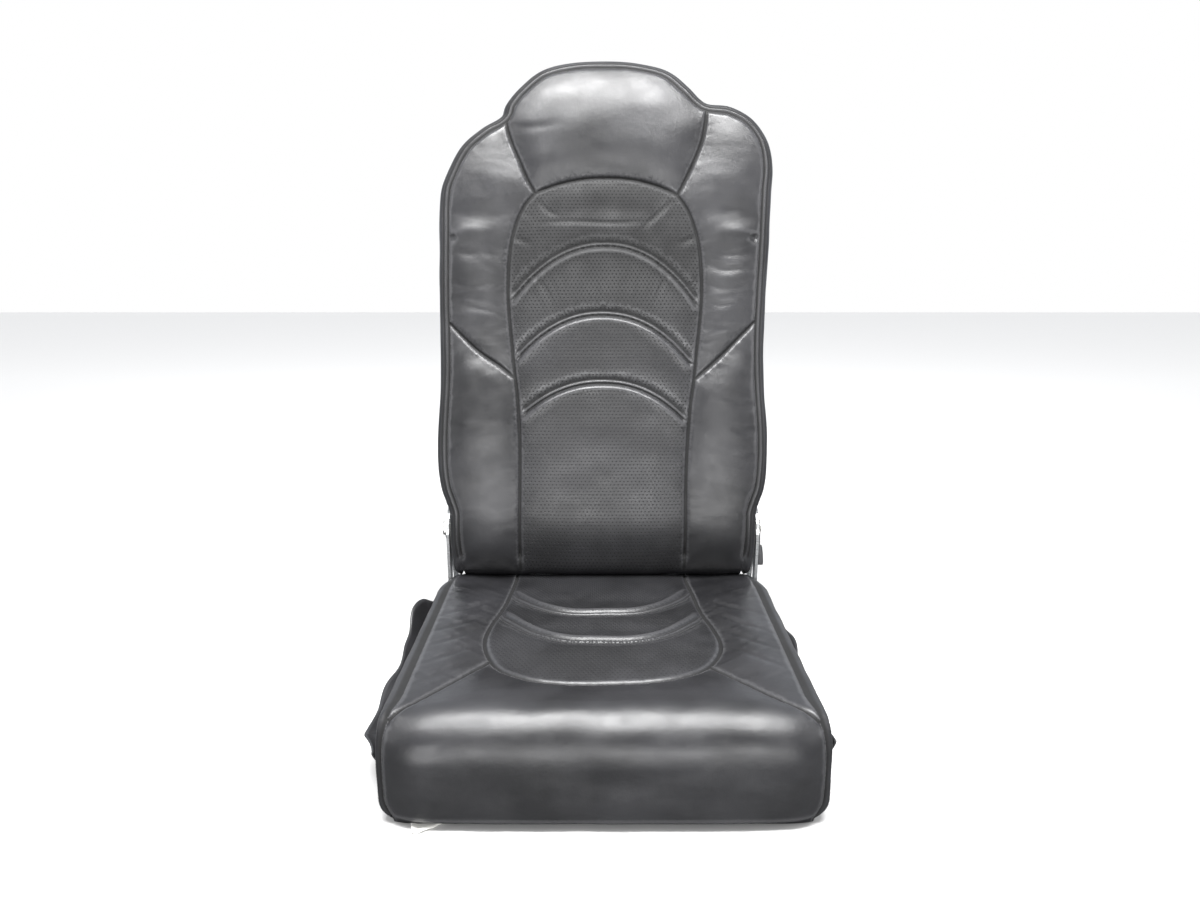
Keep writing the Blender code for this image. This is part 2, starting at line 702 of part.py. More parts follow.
def build_flap(name, side, stations, base, finishes):
    """A flap sewn along the cushion's lower side: stations of y, seam height, reach outwards and rise."""
    rings = []
    for y, z, reach, rise in spline(stations, 3):
        seam = Vector((cushion_side(z) + GAP + FLAP_THICKNESS * 0.5, z))
        tip = seam + Vector((reach, rise))
        middle = seam.lerp(tip, 0.5) + Vector((0.0, -0.15 * reach))
        across = (tip - seam).normalized()
        normal = Vector((-across.y, across.x)) * FLAP_THICKNESS * 0.5
        upper = [seam + normal, middle + normal, tip + normal]
        lower = [tip - normal, middle - normal, seam - normal]
        rings.append([(side * p.x, y, p.y) for p in upper + lower])
    make_object(f"side_flap_{name}", loft(rings), finishes["webbing"], base)


def build_trim(base, finishes):
    build_flap("left", -1, LEFT_FLAP, base, finishes)
    build_flap("right", 1, RIGHT_FLAP, base, finishes)
    length = (PAN_FRONT + PAN_CORNER, RELIEF_FRONT - PAN_BEND)
    start = PAN_HALF_WIDTH + GAP
    for side, name in ((-1, "left"), (1, "right")):
        tape = box(
            side * start, side * (start + TAPE_THICKNESS), *length, PAN_BEND + SHEET, PAN_RIM - GAP
        )
        make_object(f"hook_tape_{name}", tape, finishes["webbing"], base)

    low, high = COVER_LIFT - GAP - LINER_THICKNESS, COVER_LIFT - GAP
    pan = rounded((
        (-start, RELIEF_FRONT, GAP), (-start, PAN_FRONT - GAP, PAN_CORNER),
        (start, PAN_FRONT - GAP, PAN_CORNER), (start, RELIEF_FRONT, GAP),
    ), 5)[3:-3]
    reach = cushion_side(COVER_LIFT) - GAP
    front = CUSHION_FRONT + CUSHION_TUCK + LINER_SHOW
    edge = [
        (reach, RELIEF_FRONT), (reach, front + CUSHION_CORNER),
        (reach - 0.3 * CUSHION_CORNER, front + 0.3 * CUSHION_CORNER), (reach - CUSHION_CORNER, front),
        *[(-share * reach, front + back) for share, back in LINER_CORNER],
        (-reach, front + CUSHION_CORNER), (-reach, RELIEF_FRONT),
    ]
    make_object("seat_liner", flat_prism(pan + edge, low, high), finishes["liner"], base)


# Cross shaft and lever


def build_lever(axis, finishes):
    """The cross shaft with the lever on its right end and a collar on its left; modelled about the pivot."""
    hub_outer = HUB_INNER + LEVER_THICKNESS
    shaft = disc(-hub_outer - SHAFT_END, hub_outer, SHAFT_RADIUS, steps=16)
    make_object("cross_shaft", shaft, finishes["steel"], axis)

    def along(distance, across=0.0):
        """A point down the lever from the pivot."""
        return (
            -distance * math.sin(LEVER_LEAN) + across * math.cos(LEVER_LEAN),
            -distance * math.cos(LEVER_LEAN) - across * math.sin(LEVER_LEAN),
        )

    grip_start = LEVER_LENGTH - GRIP_LENGTH
    tongue_end = along(LEVER_LENGTH - GRIP_CAP - LEVER_WAIST)
    arm = hull_outline(((0.0, 0.0, LEVER_HUB), (*tongue_end, LEVER_WAIST)))
    lever = make_object("release_lever", prism(arm, HUB_INNER, hub_outer), finishes["black_metal"], axis)
    combine(lever, disc(HUB_INNER - CUT, hub_outer + CUT, SHAFT_RADIUS + GAP, steps=16))

    mid = PLATE_OUTER + 2.0 * GAP + GRIP_THICKNESS / 2.0
    rings = []
    for share, width, thickness in GRIP_SECTIONS:
        place = grip_start + GRIP_LENGTH * share
        half_w, half_t = GRIP_WIDTH * width / 2.0, GRIP_THICKNESS * thickness / 2.0
        corners = ((-half_t, -half_w), (half_t, -half_w), (half_t, half_w), (-half_t, half_w))
        section = rounded([(*corner, GRIP_CORNER) for corner in corners], 3)
        rings.append([(mid + u, *along(place, v)) for u, v in section])
    grip = make_object("lever_grip", loft(rings), finishes["black_plastic"], axis)
    slot = hull_outline(((0.0, 0.0, LEVER_HUB + GAP), (*tongue_end, LEVER_WAIST + GAP)))
    combine(grip, prism(slot, HUB_INNER - GAP, hub_outer + GAP))

    inner = hub_outer + GAP
    profile = (
        (inner, SCREW_HEAD), (inner + SCREW_HEAD_HEIGHT * 0.5, SCREW_HEAD),
        (inner + SCREW_HEAD_HEIGHT, SCREW_HEAD * 0.6)
    )
    screw = loft([[(x, *point) for point in circle(0.0, 0.0, r, 20)] for x, r in profile])
    make_object("lever_screw", screw, finishes["steel"], axis)
    outer = inner + COLLAR_WIDTH
    bore, rim = SHAFT_RADIUS + GAP, SHAFT_RADIUS * 1.8
    collar = turned([(-inner, bore), (-inner, rim), (-outer, rim), (-outer, bore)], steps=20)
    make_object("shaft_collar", collar, finishes["steel"], axis)


def build_spring(base, finishes):
    """The flat spiral return spring between the left plate and the collar, hooked on a pin in the plate."""
    steps = int(SPRING_TURNS * 18)
    x0, x1 = -HUB_INNER, -HUB_INNER - SPRING_WIDTH
    rings = []
    for k in range(steps + 1):
        share = k / steps
        angle = 2.0 * math.pi * SPRING_TURNS * share
        ring = []
        for x, r in ((x0, 0.0), (x1, 0.0), (x1, SPRING_STRIP), (x0, SPRING_STRIP)):
            radius = SPRING_INNER + (SPRING_OUTER - SPRING_INNER) * share + r
            ring.append((x, PIVOT_Y + radius * math.cos(angle), PIVOT_Z + radius * math.sin(angle)))
        rings.append(ring)
    make_object("return_spring", loft(rings), finishes["steel"], base)
    end = 2.0 * math.pi * SPRING_TURNS
    reach = SPRING_OUTER + SPRING_STRIP + GAP + SPRING_PIN_RADIUS
    place = (PIVOT_Y + reach * math.cos(end), PIVOT_Z + reach * math.sin(end))
    pin = disc(-(PLATE_OUTER + GAP), x1, SPRING_PIN_RADIUS, place, 12)
    make_object("spring_pin", pin, finishes["steel"], base)


# Back


def back_outline():
    """The whole outline of the back from the left waist over the head to the right waist and round below."""
    side = [(x * BACK_HALF_WIDTH, z * BACK_HEIGHT) for x, z in BACK_OUTLINE]
    side = [(-BACK_WAIST, 0.0), (-BACK_WAIST, FLARE_START * 0.8), *side]
    side += [(BACK_WAIST, FLARE_START * 0.8), (BACK_WAIST, 0.0)]
    lower = []
    for k in range(1, ROLL_CORNER_STEPS + 1):
        angle = math.pi / 2.0 * k / ROLL_CORNER_STEPS
        lower.append((BACK_WAIST - WAIST_CORNER * (1.0 - math.cos(angle)), -BACK_FRONT * math.sin(angle)))
    return side + lower + [(0.0, -BACK_FRONT)] + [(-x, z) for x, z in reversed(lower)]


def back_keel():
    """The place in the back's outline of its lowest point, and the points each way up to its waist."""
    return len(BACK_OUTLINE) + 4 + ROLL_CORNER_STEPS, ROLL_CORNER_STEPS + 2


def back_ring(y, inset, offset, under=0.0):
    """One slice of the back at depth y, whose lower end follows the roll about the pivot, drawn up by under."""
    outline = back_outline()
    roll = math.sqrt(max((BACK_FRONT - offset) ** 2 - y * y, 0.0))
    ring = []
    for (x, z), inward in zip(outline, inward_normals(outline)):
        if z >= 0.0:
            ring.append((x + inward.x * inset, y, z + inward.y * inset))
        else:
            ring.append((x + inward.x * inset, y, z / BACK_FRONT * roll + inward.y * under))
    return ring


def back_side_rings(offset):
    """The slices of the back from its rear face round to the start of its front face."""
    rings = []
    centre = BACK_REAR - BACK_REAR_ROUND
    reach = BACK_REAR_ROUND - offset
    for degrees in (90, 45, 0):
        angle = math.radians(degrees)
        inset = BACK_REAR_ROUND - reach * math.cos(angle)
        rings.append(back_ring(centre + reach * math.sin(angle), inset, offset))
    for share in (0.2, -0.3):
        rings.append(back_ring(share * BACK_FRONT, offset, offset))
    centre = BACK_FRONT - BACK_EDGE_ROUND
    reach = BACK_EDGE_ROUND - offset
    for degrees in (0, 45, 90):
        angle = math.radians(degrees)
        inset = BACK_EDGE_ROUND - reach * math.cos(angle)
        rings.append(back_ring(-centre - reach * math.sin(angle), inset, offset))
    return rings


def back_front_rings(edge):
    """The front face, drawn in towards a line up its middle: bolsters, centre panel and headrest."""
    low, high = 0.10 * BACK_HEIGHT, 0.86 * BACK_HEIGHT
    rings = []
    for pull, bolster in ((0.17, 1.0), (0.45, 0.1), (0.90, 0.4)):
        ring = []
        for x, y, z in edge:
            spine = min(max(z, low), high)
            nx, nz = x * (1.0 - pull), z + (spine - z) * pull * 0.8
            rise = BOLSTER_PROUD * bolster * smoothstep(0.08 * BACK_HEIGHT, 0.20 * BACK_HEIGHT, nz)
            rise += HEAD_PROUD * smoothstep(HEAD_SEAM - HEAD_RAMP / 2.0, HEAD_SEAM + 1.5 * HEAD_RAMP, nz)
            ring.append((nx, y - rise, nz))
        rings.append(ring)
    return rings


def back_solid(offset):
    sides = back_side_rings(offset)
    return loft(sides + back_front_rings(sides[-1]), keel=back_keel(), flipped=0)


def frame_pocket():
    """The hollow behind the foam, open to the rear, that holds the frame."""
    front = -(HOOP_RADIUS - HOOP_DEPTH + STRAP_THICKNESS + 2.0 * GAP)
    return box(-POCKET_HALF_WIDTH, POCKET_HALF_WIDTH, front, 2.0 * BACK_REAR, 0.0, POCKET_TOP)


def head_pocket():
    half = HEAD_STAY_HALF_WIDTH + 2.0 * HEAD_STAY_RADIUS
    return box(-half, half, HOOP_DEPTH - HEAD_STAY_RADIUS - GAP, 2.0 * BACK_REAR, HOOP_TOP, HEAD_POCKET_TOP)


def roll_pocket():
    """The round hollow about the pivot, open downwards at the rear so that the back drops over its tube."""
    wide = 1.1 * BACK_HALF_WIDTH
    outline = circle(0.0, 0.0, POCKET_ROLL, 24, math.radians(90.0), math.radians(180.0))
    outline += [(2.0 * BACK_REAR, -POCKET_ROLL), (2.0 * BACK_REAR, POCKET_ROLL)]
    return prism(outline, -wide, wide)


def build_back_padding(axis, finishes):
    foam = make_object("back_foam", back_solid(FOAM_OFFSET), finishes["foam"], axis)
    combine(foam, roll_pocket())
    combine(foam, frame_pocket())
    combine(foam, head_pocket())
    far = 3.0 * BACK_FRONT
    outline = [(x * BACK_HALF_WIDTH, z * BACK_HEIGHT) for x, z in HEAD_OUTLINE]
    combine(foam, depth_prism(outline, -far, far))

    head = make_object("headrest_foam", back_solid(FOAM_OFFSET), finishes["foam"], axis)
    inner = [
        (x + inward.x * 2.0 * GAP, z + inward.y * 2.0 * GAP)
        for (x, z), inward in zip(outline, inward_normals(outline))
    ]
    combine(head, depth_prism(inner, -far, far), "INTERSECT")
    combine(head, head_pocket())

    lip = back_ring(BACK_REAR, REAR_OPENING, 0.0, REAR_OPENING / 2.0)
    inner_lip = back_ring(BACK_REAR - LEATHER, REAR_OPENING, 0.0, REAR_OPENING / 2.0)
    outer_sides = back_side_rings(0.0)
    inner_sides = back_side_rings(LEATHER)
    outer = [lip, *outer_sides, *back_front_rings(outer_sides[-1])]
    inner_rings = [inner_lip, *inner_sides, *back_front_rings(inner_sides[-1])]
    skin = loft(list(reversed(outer)) + inner_rings, keel=back_keel(), flipped=len(outer))
    cover = make_object("back_cover", skin, finishes["leather"], axis)
    wide = 1.1 * BACK_HALF_WIDTH
    combine(cover, disc(-wide, wide, SIDE_HOLE, steps=28))


def build_back_shell(axis, finishes):
    """The moulded rear panel, dished outwards, on the cover's rear lip."""
    face = BACK_REAR + GAP
    under = SHELL_INSET / 2.0
    rings = [
        back_ring(face, SHELL_INSET + SHELL_BEVEL, 0.0, under + SHELL_BEVEL),
        back_ring(face + SHELL_THICKNESS, SHELL_INSET, 0.0, under),
    ]
    low, high = 0.16 * BACK_HEIGHT, 0.80 * BACK_HEIGHT

    def drawn_in(ring, pull, rise):
        return [
            (x * (1.0 - pull), y + rise, z + (min(max(z, low), high) - z) * pull) for x, y, z in ring
        ]

    inside = back_ring(face, SHELL_INSET + SHELL_WALL, 0.0, under + SHELL_WALL)
    rings_in = [inside, *[drawn_in(rings[1], pull, SHELL_DISH - SHELL_THICKNESS) for pull in (0.12, 0.92)]]
    rings += [drawn_in(rings[1], pull, SHELL_DISH) for pull in (0.12, 0.92)]
    skin = loft(list(reversed(rings)) + rings_in, keel=back_keel(), flipped=len(rings))
    shell = make_object("back_shell", skin, finishes["shell"], axis)
    outer_face = face + SHELL_THICKNESS + SHELL_DISH
    inner_face = outer_face - SHELL_THICKNESS
    drill = bmesh.new()
    for x in (-HOOP_HALF_WIDTH, HOOP_HALF_WIDTH):
        for z in STANDOFF_HEIGHTS:
            outline = circle(x, z, SHELL_SCREW_RADIUS + HOLE_CLEARANCE, 12)
            loft([[(px, y, pz) for px, pz in outline] for y in (inner_face - CUT, outer_face + CUT)], drill)
    combine(shell, drill)
    return inner_face


def build_frame(axis, finishes):
    """The welded tube frame: hoop on sockets on the lower cross tube, a middle tube and the headrest stay."""
    depth = HOOP_DEPTH
    foot = CROSS_TUBE_RADIUS + 2.0 * TUBE_WALL
    path = bent_path(
        [
            (-HOOP_HALF_WIDTH, foot), (-HOOP_HALF_WIDTH, HOOP_TOP),
            (HOOP_HALF_WIDTH, HOOP_TOP), (HOOP_HALF_WIDTH, foot),
        ],
        (HOOP_BEND, HOOP_BEND),
    )
    hoop = swept_tube(
        "frame_hoop", [(x, depth, z) for x, z in path], HOOP_RADIUS, TUBE_WALL, finishes["frame"], axis
    )
    inner_face = build_back_shell(axis, finishes)
    posts = bmesh.new()
    holes = bmesh.new()
    for x in (-HOOP_HALF_WIDTH, HOOP_HALF_WIDTH):
        for z in STANDOFF_HEIGHTS:
            start, stop = depth + HOOP_RADIUS - TUBE_WALL * 0.7, inner_face - GAP
            bore = SHELL_SCREW_RADIUS + HOLE_CLEARANCE
            for bm, radius, y0, y1 in ((posts, STANDOFF_RADIUS, start, stop),
                                       (holes, bore, inner_face - SHELL_SCREW_LENGTH - GAP, stop + CUT)):
                outline = circle(x, z, radius, 12)
                loft([[(px, y, pz) for px, pz in outline] for y in (y0, y1)], bm)
    combine(hoop, posts, "UNION")
    combine(hoop, holes)

    tube_end = BACK_WAIST - LEATHER - RECLINER_MOVING - FLANGE_THICKNESS - 4.0 * GAP
    tube_bore = CROSS_TUBE_RADIUS - CROSS_TUBE_WALL
    profile = (
        (-tube_end, tube_bore), (-tube_end, CROSS_TUBE_RADIUS),
        (tube_end, CROSS_TUBE_RADIUS), (tube_end, tube_bore),
    )
    make_object("lower_cross_tube", turned(profile), finishes["frame"], axis)

    for side, name in ((-1, "left"), (1, "right")):
        middle = side * HOOP_HALF_WIDTH
        bore = HOOP_RADIUS + GAP
        wall = bore + SOCKET_WALL
        top = CROSS_TUBE_RADIUS + SOCKET_LENGTH
        bm = bmesh.new()
        rings = [
            [bm.verts.new((x, y, z)) for x, y in circle(middle, depth, radius, 16)]
            for radius, z in ((bore, 0.0), (wall, 0.0), (wall, top), (bore, top))
        ]
        for inner, outer in zip(rings, rings[1:] + rings[:1]):
            for k in range(len(inner)):
                following = (k + 1) % len(inner)
                bm.faces.new((inner[k], inner[following], outer[following], outer[k]))
        socket = make_object(f"frame_socket_{name}", bm, finishes["frame"], axis)
        span = 2.0 * wall
        saddle = circle(0.0, 0.0, CROSS_TUBE_RADIUS + GAP, 28, 0.0, math.pi)
        beyond = 2.0 * CROSS_TUBE_RADIUS
        saddle += [(-beyond, 0.0), (-beyond, -beyond), (beyond, -beyond), (beyond, 0.0)]
        combine(socket, prism(saddle, middle - span, middle + span))

        inner = tube_end + GAP
        outer = inner + FLANGE_THICKNESS
        profile = (
            (inner, tube_bore), (inner, CROSS_TUBE_RADIUS + FLANGE_HUB), (inner + FLANGE_RIM, RECLINER_RADIUS),
            (outer, RECLINER_RADIUS), (outer, tube_bore),
        )
        flange = turned([(side * x, r) for x, r in profile])
        make_object(f"frame_flange_{name}", flange, finishes["frame"], axis)
        start = outer + GAP
        stop = PLATE_INNER - GAP - RECLINER_FIXED - GAP
        shaft_bore, rim = SHAFT_RADIUS + RUNNING, RECLINER_RADIUS + RECLINER_LAP
        profile = ((start, shaft_bore), (start, rim), (stop, rim), (stop, shaft_bore))
        moving = turned([(side * x, r) for x, r in profile])
        make_object(f"recliner_moving_disc_{name}", moving, finishes["steel"], axis)

    reach = HOOP_HALF_WIDTH - HOOP_RADIUS - GAP
    bore = MID_TUBE_RADIUS - TUBE_WALL
    profile = ((-reach, bore), (-reach, MID_TUBE_RADIUS), (reach, MID_TUBE_RADIUS), (reach, bore))
    bm = turned(profile, (depth, MID_TUBE_Z), 16)
    make_object("middle_tube", bm, finishes["frame"], axis)

    start = HOOP_TOP + HOOP_RADIUS + GAP
    path = bent_path(
        [(-HEAD_STAY_HALF_WIDTH, start), (-HEAD_STAY_HALF_WIDTH, HEAD_STAY_TOP),
         (HEAD_STAY_HALF_WIDTH, HEAD_STAY_TOP), (HEAD_STAY_HALF_WIDTH, start)],
        (HEAD_STAY_BEND, HEAD_STAY_BEND), 4,
    )
    swept_tube("headrest_stay", [(x, depth, z) for x, z in path], HEAD_STAY_RADIUS, TUBE_WALL, finishes["frame"],
               axis, 8)

    front = depth - HOOP_RADIUS - GAP
    reach = HOOP_HALF_WIDTH + HOOP_RADIUS
    for number, z in enumerate(STRAP_HEIGHTS, 1):
        strap = box(-reach, reach, front - STRAP_THICKNESS, front, z - STRAP_WIDTH / 2.0, z + STRAP_WIDTH / 2.0)
        make_object(f"lumbar_strap_{number}", strap, finishes["webbing"], axis)

    outer_face = inner_face + SHELL_THICKNESS
    for x, name in ((-HOOP_HALF_WIDTH, "left"), (HOOP_HALF_WIDTH, "right")):
        for z, level in zip(STANDOFF_HEIGHTS, ("lower", "upper")):
            head = outer_face + GAP
            profile = (
                (inner_face - SHELL_SCREW_LENGTH, SHELL_SCREW_RADIUS), (head, SHELL_SCREW_RADIUS),
                (head, SHELL_SCREW_HEAD), (head + SHELL_SCREW_HEAD_HEIGHT * 0.6, SHELL_SCREW_HEAD * 0.8),
                (head + SHELL_SCREW_HEAD_HEIGHT, SHELL_SCREW_HEAD * 0.4),
            )
            rings = [[(px, y, pz) for px, pz in circle(x, z, r, 12)] for y, r in profile]
            make_object(f"shell_screw_{level}_{name}", loft(rings), finishes["steel"], axis)


def make_finishes():
    return {
        "leather": make_material("black_leather", (0.030, 0.030, 0.034), 0.42),
        "foam": make_material("seat_foam", (0.62, 0.58, 0.44), 0.95),
        "aluminium": make_material("aluminium_sheet", (0.72, 0.73, 0.72), 0.38, 0.9),
        "steel": make_material("zinc_plated_steel", (0.50, 0.50, 0.48), 0.35, 1.0),
        "bronze": make_material("bush_bronze", (0.55, 0.36, 0.16), 0.40, 1.0),
        "frame": make_material("painted_tube", (0.035, 0.037, 0.040), 0.45, 0.2),
        "black_metal": make_material("black_lever", (0.025, 0.025, 0.027), 0.40, 0.3),
        "black_plastic": make_material("black_grip", (0.022, 0.022, 0.024), 0.50),
        "shell": make_material("rear_shell_plastic", (0.045, 0.045, 0.050), 0.55),
        "webbing": make_material("black_webbing", (0.028, 0.028, 0.030), 0.85),
        "liner": make_material("white_liner", (0.80, 0.79, 0.75), 0.90),
    }


def main():
    clear_scene()
    finishes = make_finishes()
    base = make_empty("seat_base_axis", (0.0, 0.0, 0.0))
    back = make_empty("backrest_axis", (0.0, PIVOT_Y, PIVOT_Z), -RECLINE)
    lever = make_empty("lever_axis", (0.0, PIVOT_Y, PIVOT_Z))
    bpy.context.view_layer.update()
    build_pan(base, finishes)
    build_crossmember(base, finishes)
    build_cushion(base, finishes)
    for side, name in ((-1, "left"), (1, "right")):
        build_hinge_side(side, name, base, finishes)
    build_trim(base, finishes)
    build_spring(base, finishes)
    build_lever(lever, finishes)
    build_back_padding(back, finishes)
    build_frame(back, finishes)


main()
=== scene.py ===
"""Looks of a black leather aircraft passenger seat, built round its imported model.

Metres, +Z up, the seat faces -Y. The leather of the back and of the cushion is one padded mesh each: a front that
is cut along its seams, and a boxing that runs from the outer seam to the hem. The frame, the hinges and the lever
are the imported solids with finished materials.
"""

import logging
import math
from dataclasses import dataclass, field, replace
from enum import Enum
from typing import Callable, Sequence

import bpy
import numpy as np
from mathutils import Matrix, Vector, geometry
from mathutils.bvhtree import BVHTree
from mathutils.kdtree import KDTree


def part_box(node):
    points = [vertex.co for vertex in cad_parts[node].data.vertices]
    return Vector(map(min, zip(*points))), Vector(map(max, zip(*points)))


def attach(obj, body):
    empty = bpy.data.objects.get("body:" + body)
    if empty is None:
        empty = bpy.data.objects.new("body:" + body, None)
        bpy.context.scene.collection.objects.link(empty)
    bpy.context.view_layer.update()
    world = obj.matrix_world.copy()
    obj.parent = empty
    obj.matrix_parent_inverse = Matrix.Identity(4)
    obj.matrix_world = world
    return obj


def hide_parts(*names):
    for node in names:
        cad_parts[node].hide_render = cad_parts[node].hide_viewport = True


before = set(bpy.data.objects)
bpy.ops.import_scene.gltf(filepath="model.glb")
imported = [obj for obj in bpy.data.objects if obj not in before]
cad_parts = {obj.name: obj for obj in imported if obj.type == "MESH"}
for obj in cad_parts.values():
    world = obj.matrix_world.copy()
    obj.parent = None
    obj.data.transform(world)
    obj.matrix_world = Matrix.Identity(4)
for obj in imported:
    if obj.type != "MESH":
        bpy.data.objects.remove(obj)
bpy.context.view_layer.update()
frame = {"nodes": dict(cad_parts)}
LOG = logging.getLogger("seat")

Line = np.ndarray
Colour = tuple[float, float, float]

MM = 0.001
TINY = 1e-12  # added to lengths before they divide
GOLDEN_ANGLE = 2.39996
HASH = (127.1, 311.7, 74.7, 43758.5453)  # the steps of the noise by column, row and seed, and its spread

VALLEY_ROWS = (-8.2, -6.2, -4.4, -2.9, -1.4, 1.4, 2.9, 4.4, 6.2, 8.2)  # rows of points beside a seam, in mm
FOLD_ROWS = (-15.0, -12.8, -10.8, -9.1, -7.7, -6.5, -5.5, -4.3, -2.8, -1.4, 1.5, 3.4, 6.0)
ROWS_END = 8.6 * MM
EVENING = 70  # rounds that even the pads out between the seams
HELD = 0.8 * MM  # the leather this close to a seam is held down by it
UNSEWN = 0.12  # a distance at which no seam draws the leather in
FADE = 12.0 * MM  # folds run out this far before they meet a seam
SEAM_STEP = 0.6  # the spacing of a seam's points, as a share of the cover's


class Leather(Enum):
    """The leathers of the covers, in the order of their material slots."""

    PLAIN = 0
    PERFORATED = 1


class SeamKind(Enum):
    """How two panels meet."""

    VALLEY = "sewn down in a groove"
    FOLD = "the upper panel folds over the lower one"
    WELT = "the outer seam, with a row of stitches on each side"


class Panel(Enum):
    """The panels of the covers."""

    HEAD = 0
    BAND = 1
    WING = 2
    BOLSTER = 3
    SIDE = 4
    FRONT = 5
    BOXING = 6


# Plane geometry


def metres(points: Sequence[Sequence[float]]) -> Line:
    """Points in metres, from points in millimetres."""
    return np.array(points) * MM


def smoothstep(low: float, high: float, value: np.ndarray) -> np.ndarray:
    """Goes from 0 at low to 1 at high, level at both ends."""
    share = np.clip((value - low) / (high - low), 0.0, 1.0)
    return share * share * (3.0 - 2.0 * share)


def resample(line: Line, step: float) -> Line:
    """Divides a line evenly.

    Args:
        line: the points of the line.
        step: the spacing wanted.

    Returns:
        Points of the same line at equal steps, close to the one wanted.
    """
    lengths = np.linalg.norm(np.diff(line, axis=0), axis=1)
    arc = np.concatenate([[0.0], np.cumsum(lengths)])
    at = np.linspace(0.0, arc[-1], max(int(round(arc[-1] / step)), 2) + 1)
    return np.column_stack([np.interp(at, arc, line[:, k]) for k in range(line.shape[1])])


def spline(points: Sequence[Sequence[float]], step: float) -> Line:
    """A smooth line through the points.

    Args:
        points: the places that it goes through, two or three numbers each.
        step: the spacing of the points of the result.

    Returns:
        The points of the line, at equal steps.
    """
    given = np.asarray(points, float)
    padded = np.vstack([2.0 * given[0] - given[1], given, 2.0 * given[-1] - given[-2]])
    share = np.linspace(0.0, 1.0, 16, endpoint=False)[:, None]
    pieces = []
    for a, b, c, d in zip(padded, padded[1:], padded[2:], padded[3:]):
        bend = 2.0 * a - 5.0 * b + 4.0 * c - d + share * (3.0 * b - a - 3.0 * c + d)
        pieces.append(b + 0.5 * share * (c - a + share * bend))
    return resample(np.vstack([*pieces, given[-1:]]), step)


def arch(left: Sequence[float], right: Sequence[float], crown: float, power: float, step: float) -> Line:
    """A seam that rises from both ends to a flat crown.

    Args:
        left: its left end.
        right: its right end.
        crown: the height of its middle.
        power: how square its shoulders are.
        step: the spacing of its points.

    Returns:
        The points from left to right.
    """
    share = np.linspace(0.0, 1.0, 80)
    foot = left[1] + (right[1] - left[1]) * share
    rise = (crown - foot) * (1.0 - np.abs(2.0 * share - 1.0) ** power)
    return resample(np.column_stack([left[0] + (right[0] - left[0]) * share, foot + rise]), step)


def side_normals(line: Line, closed: bool = False) -> Line:
    """Finds the left-hand side of a plane line.

    Args:
        line: the points of the line.
        closed: whether its last point is joined to the first.

    Returns:
        A unit normal for each point.
    """
    if closed:
        along = np.roll(line, -1, axis=0) - np.roll(line, 1, axis=0)
    else:
        along = np.gradient(line, axis=0)
    along /= np.linalg.norm(along, axis=1)[:, None] + TINY
    return np.column_stack([-along[:, 1], along[:, 0]])


def plane_tree(points: Line) -> KDTree:
    """Makes a search tree.

    Args:
        points: the plane points to find.

    Returns:
        The tree, which holds them at a height of 0.
    """
    tree = KDTree(len(points))
    for number, (x, y) in enumerate(points.tolist()):
        tree.insert((x, y, 0.0), number)
    tree.balance()
    return tree


def nearest(points: Line, line: Line) -> tuple[np.ndarray, np.ndarray, np.ndarray]:
    """Measures points against a plane line.

    Args:
        points: the points to measure.
        line: the line, whose long stretches are divided first.

    Returns:
        The distance, the arc length at the nearest place, and 1 on the left or -1 on the right.
    """
    if np.linalg.norm(np.diff(line, axis=0), axis=1).max() > 4.0 * MM:
        line = resample(line, 2.5 * MM)
    tree = plane_tree(line)
    closest = np.array([tree.find((x, y, 0.0))[1] for x, y in points.tolist()], int)
    along = np.diff(line, axis=0)
    lengths = np.linalg.norm(along, axis=1) + TINY
    arcs = np.concatenate([[0.0], np.cumsum(lengths)])
    best = np.full(len(points), np.inf)
    arc = np.zeros(len(points))
    side = np.ones(len(points))
    for shift in (-1, 0):
        k = np.clip(closest + shift, 0, len(along) - 1)
        away = points - line[k]
        share = np.clip((away * along[k]).sum(axis=1) / lengths[k] ** 2, 0.0, 1.0)
        gap = away - share[:, None] * along[k]
        distance = np.hypot(gap[:, 0], gap[:, 1])
        nearer = distance < best
        best = np.where(nearer, distance, best)
        arc = np.where(nearer, arcs[k] + share * lengths[k], arc)
        side = np.where(nearer, np.sign(along[k, 0] * gap[:, 1] - along[k, 1] * gap[:, 0]), side)
    return best, arc, side


def nearest_of(points: Line, lines: Sequence[Line]) -> np.ndarray:
    """How far each point is from the nearest of several lines."""
    return np.minimum.reduce([nearest(points, line)[0] for line in lines])


def thinned(points: Line, least: float) -> Line:
    """Thins out crowded points.

    Args:
        points: the points.
        least: the least distance between two that stay.

    Returns:
        The points without those that crowd an earlier one.
    """
    tree = plane_tree(points)
    dropped = np.zeros(len(points), bool)
    for number, (x, y) in enumerate(points.tolist()):
        if not dropped[number]:
            for _, other, _ in tree.find_range((x, y, 0.0), least):
                dropped[other] |= other > number
    return points[~dropped]


def inside(points: Line, polygon: Line) -> np.ndarray:
    """Sorts points by a polygon.

    Args:
        points: the points.
        polygon: the corners of the closed plane polygon.

    Returns:
        Whether each point lies inside.
    """
    x, y = points.T
    result = np.zeros(len(points), bool)
    for (x0, y0), (x1, y1) in zip(polygon, np.roll(polygon, -1, axis=0)):
        if y0 == y1:
            continue
        crossed = (y0 > y) != (y1 > y)
        result ^= crossed & (x < (x1 - x0) * (y - y0) / (y1 - y0) + x0)
    return result


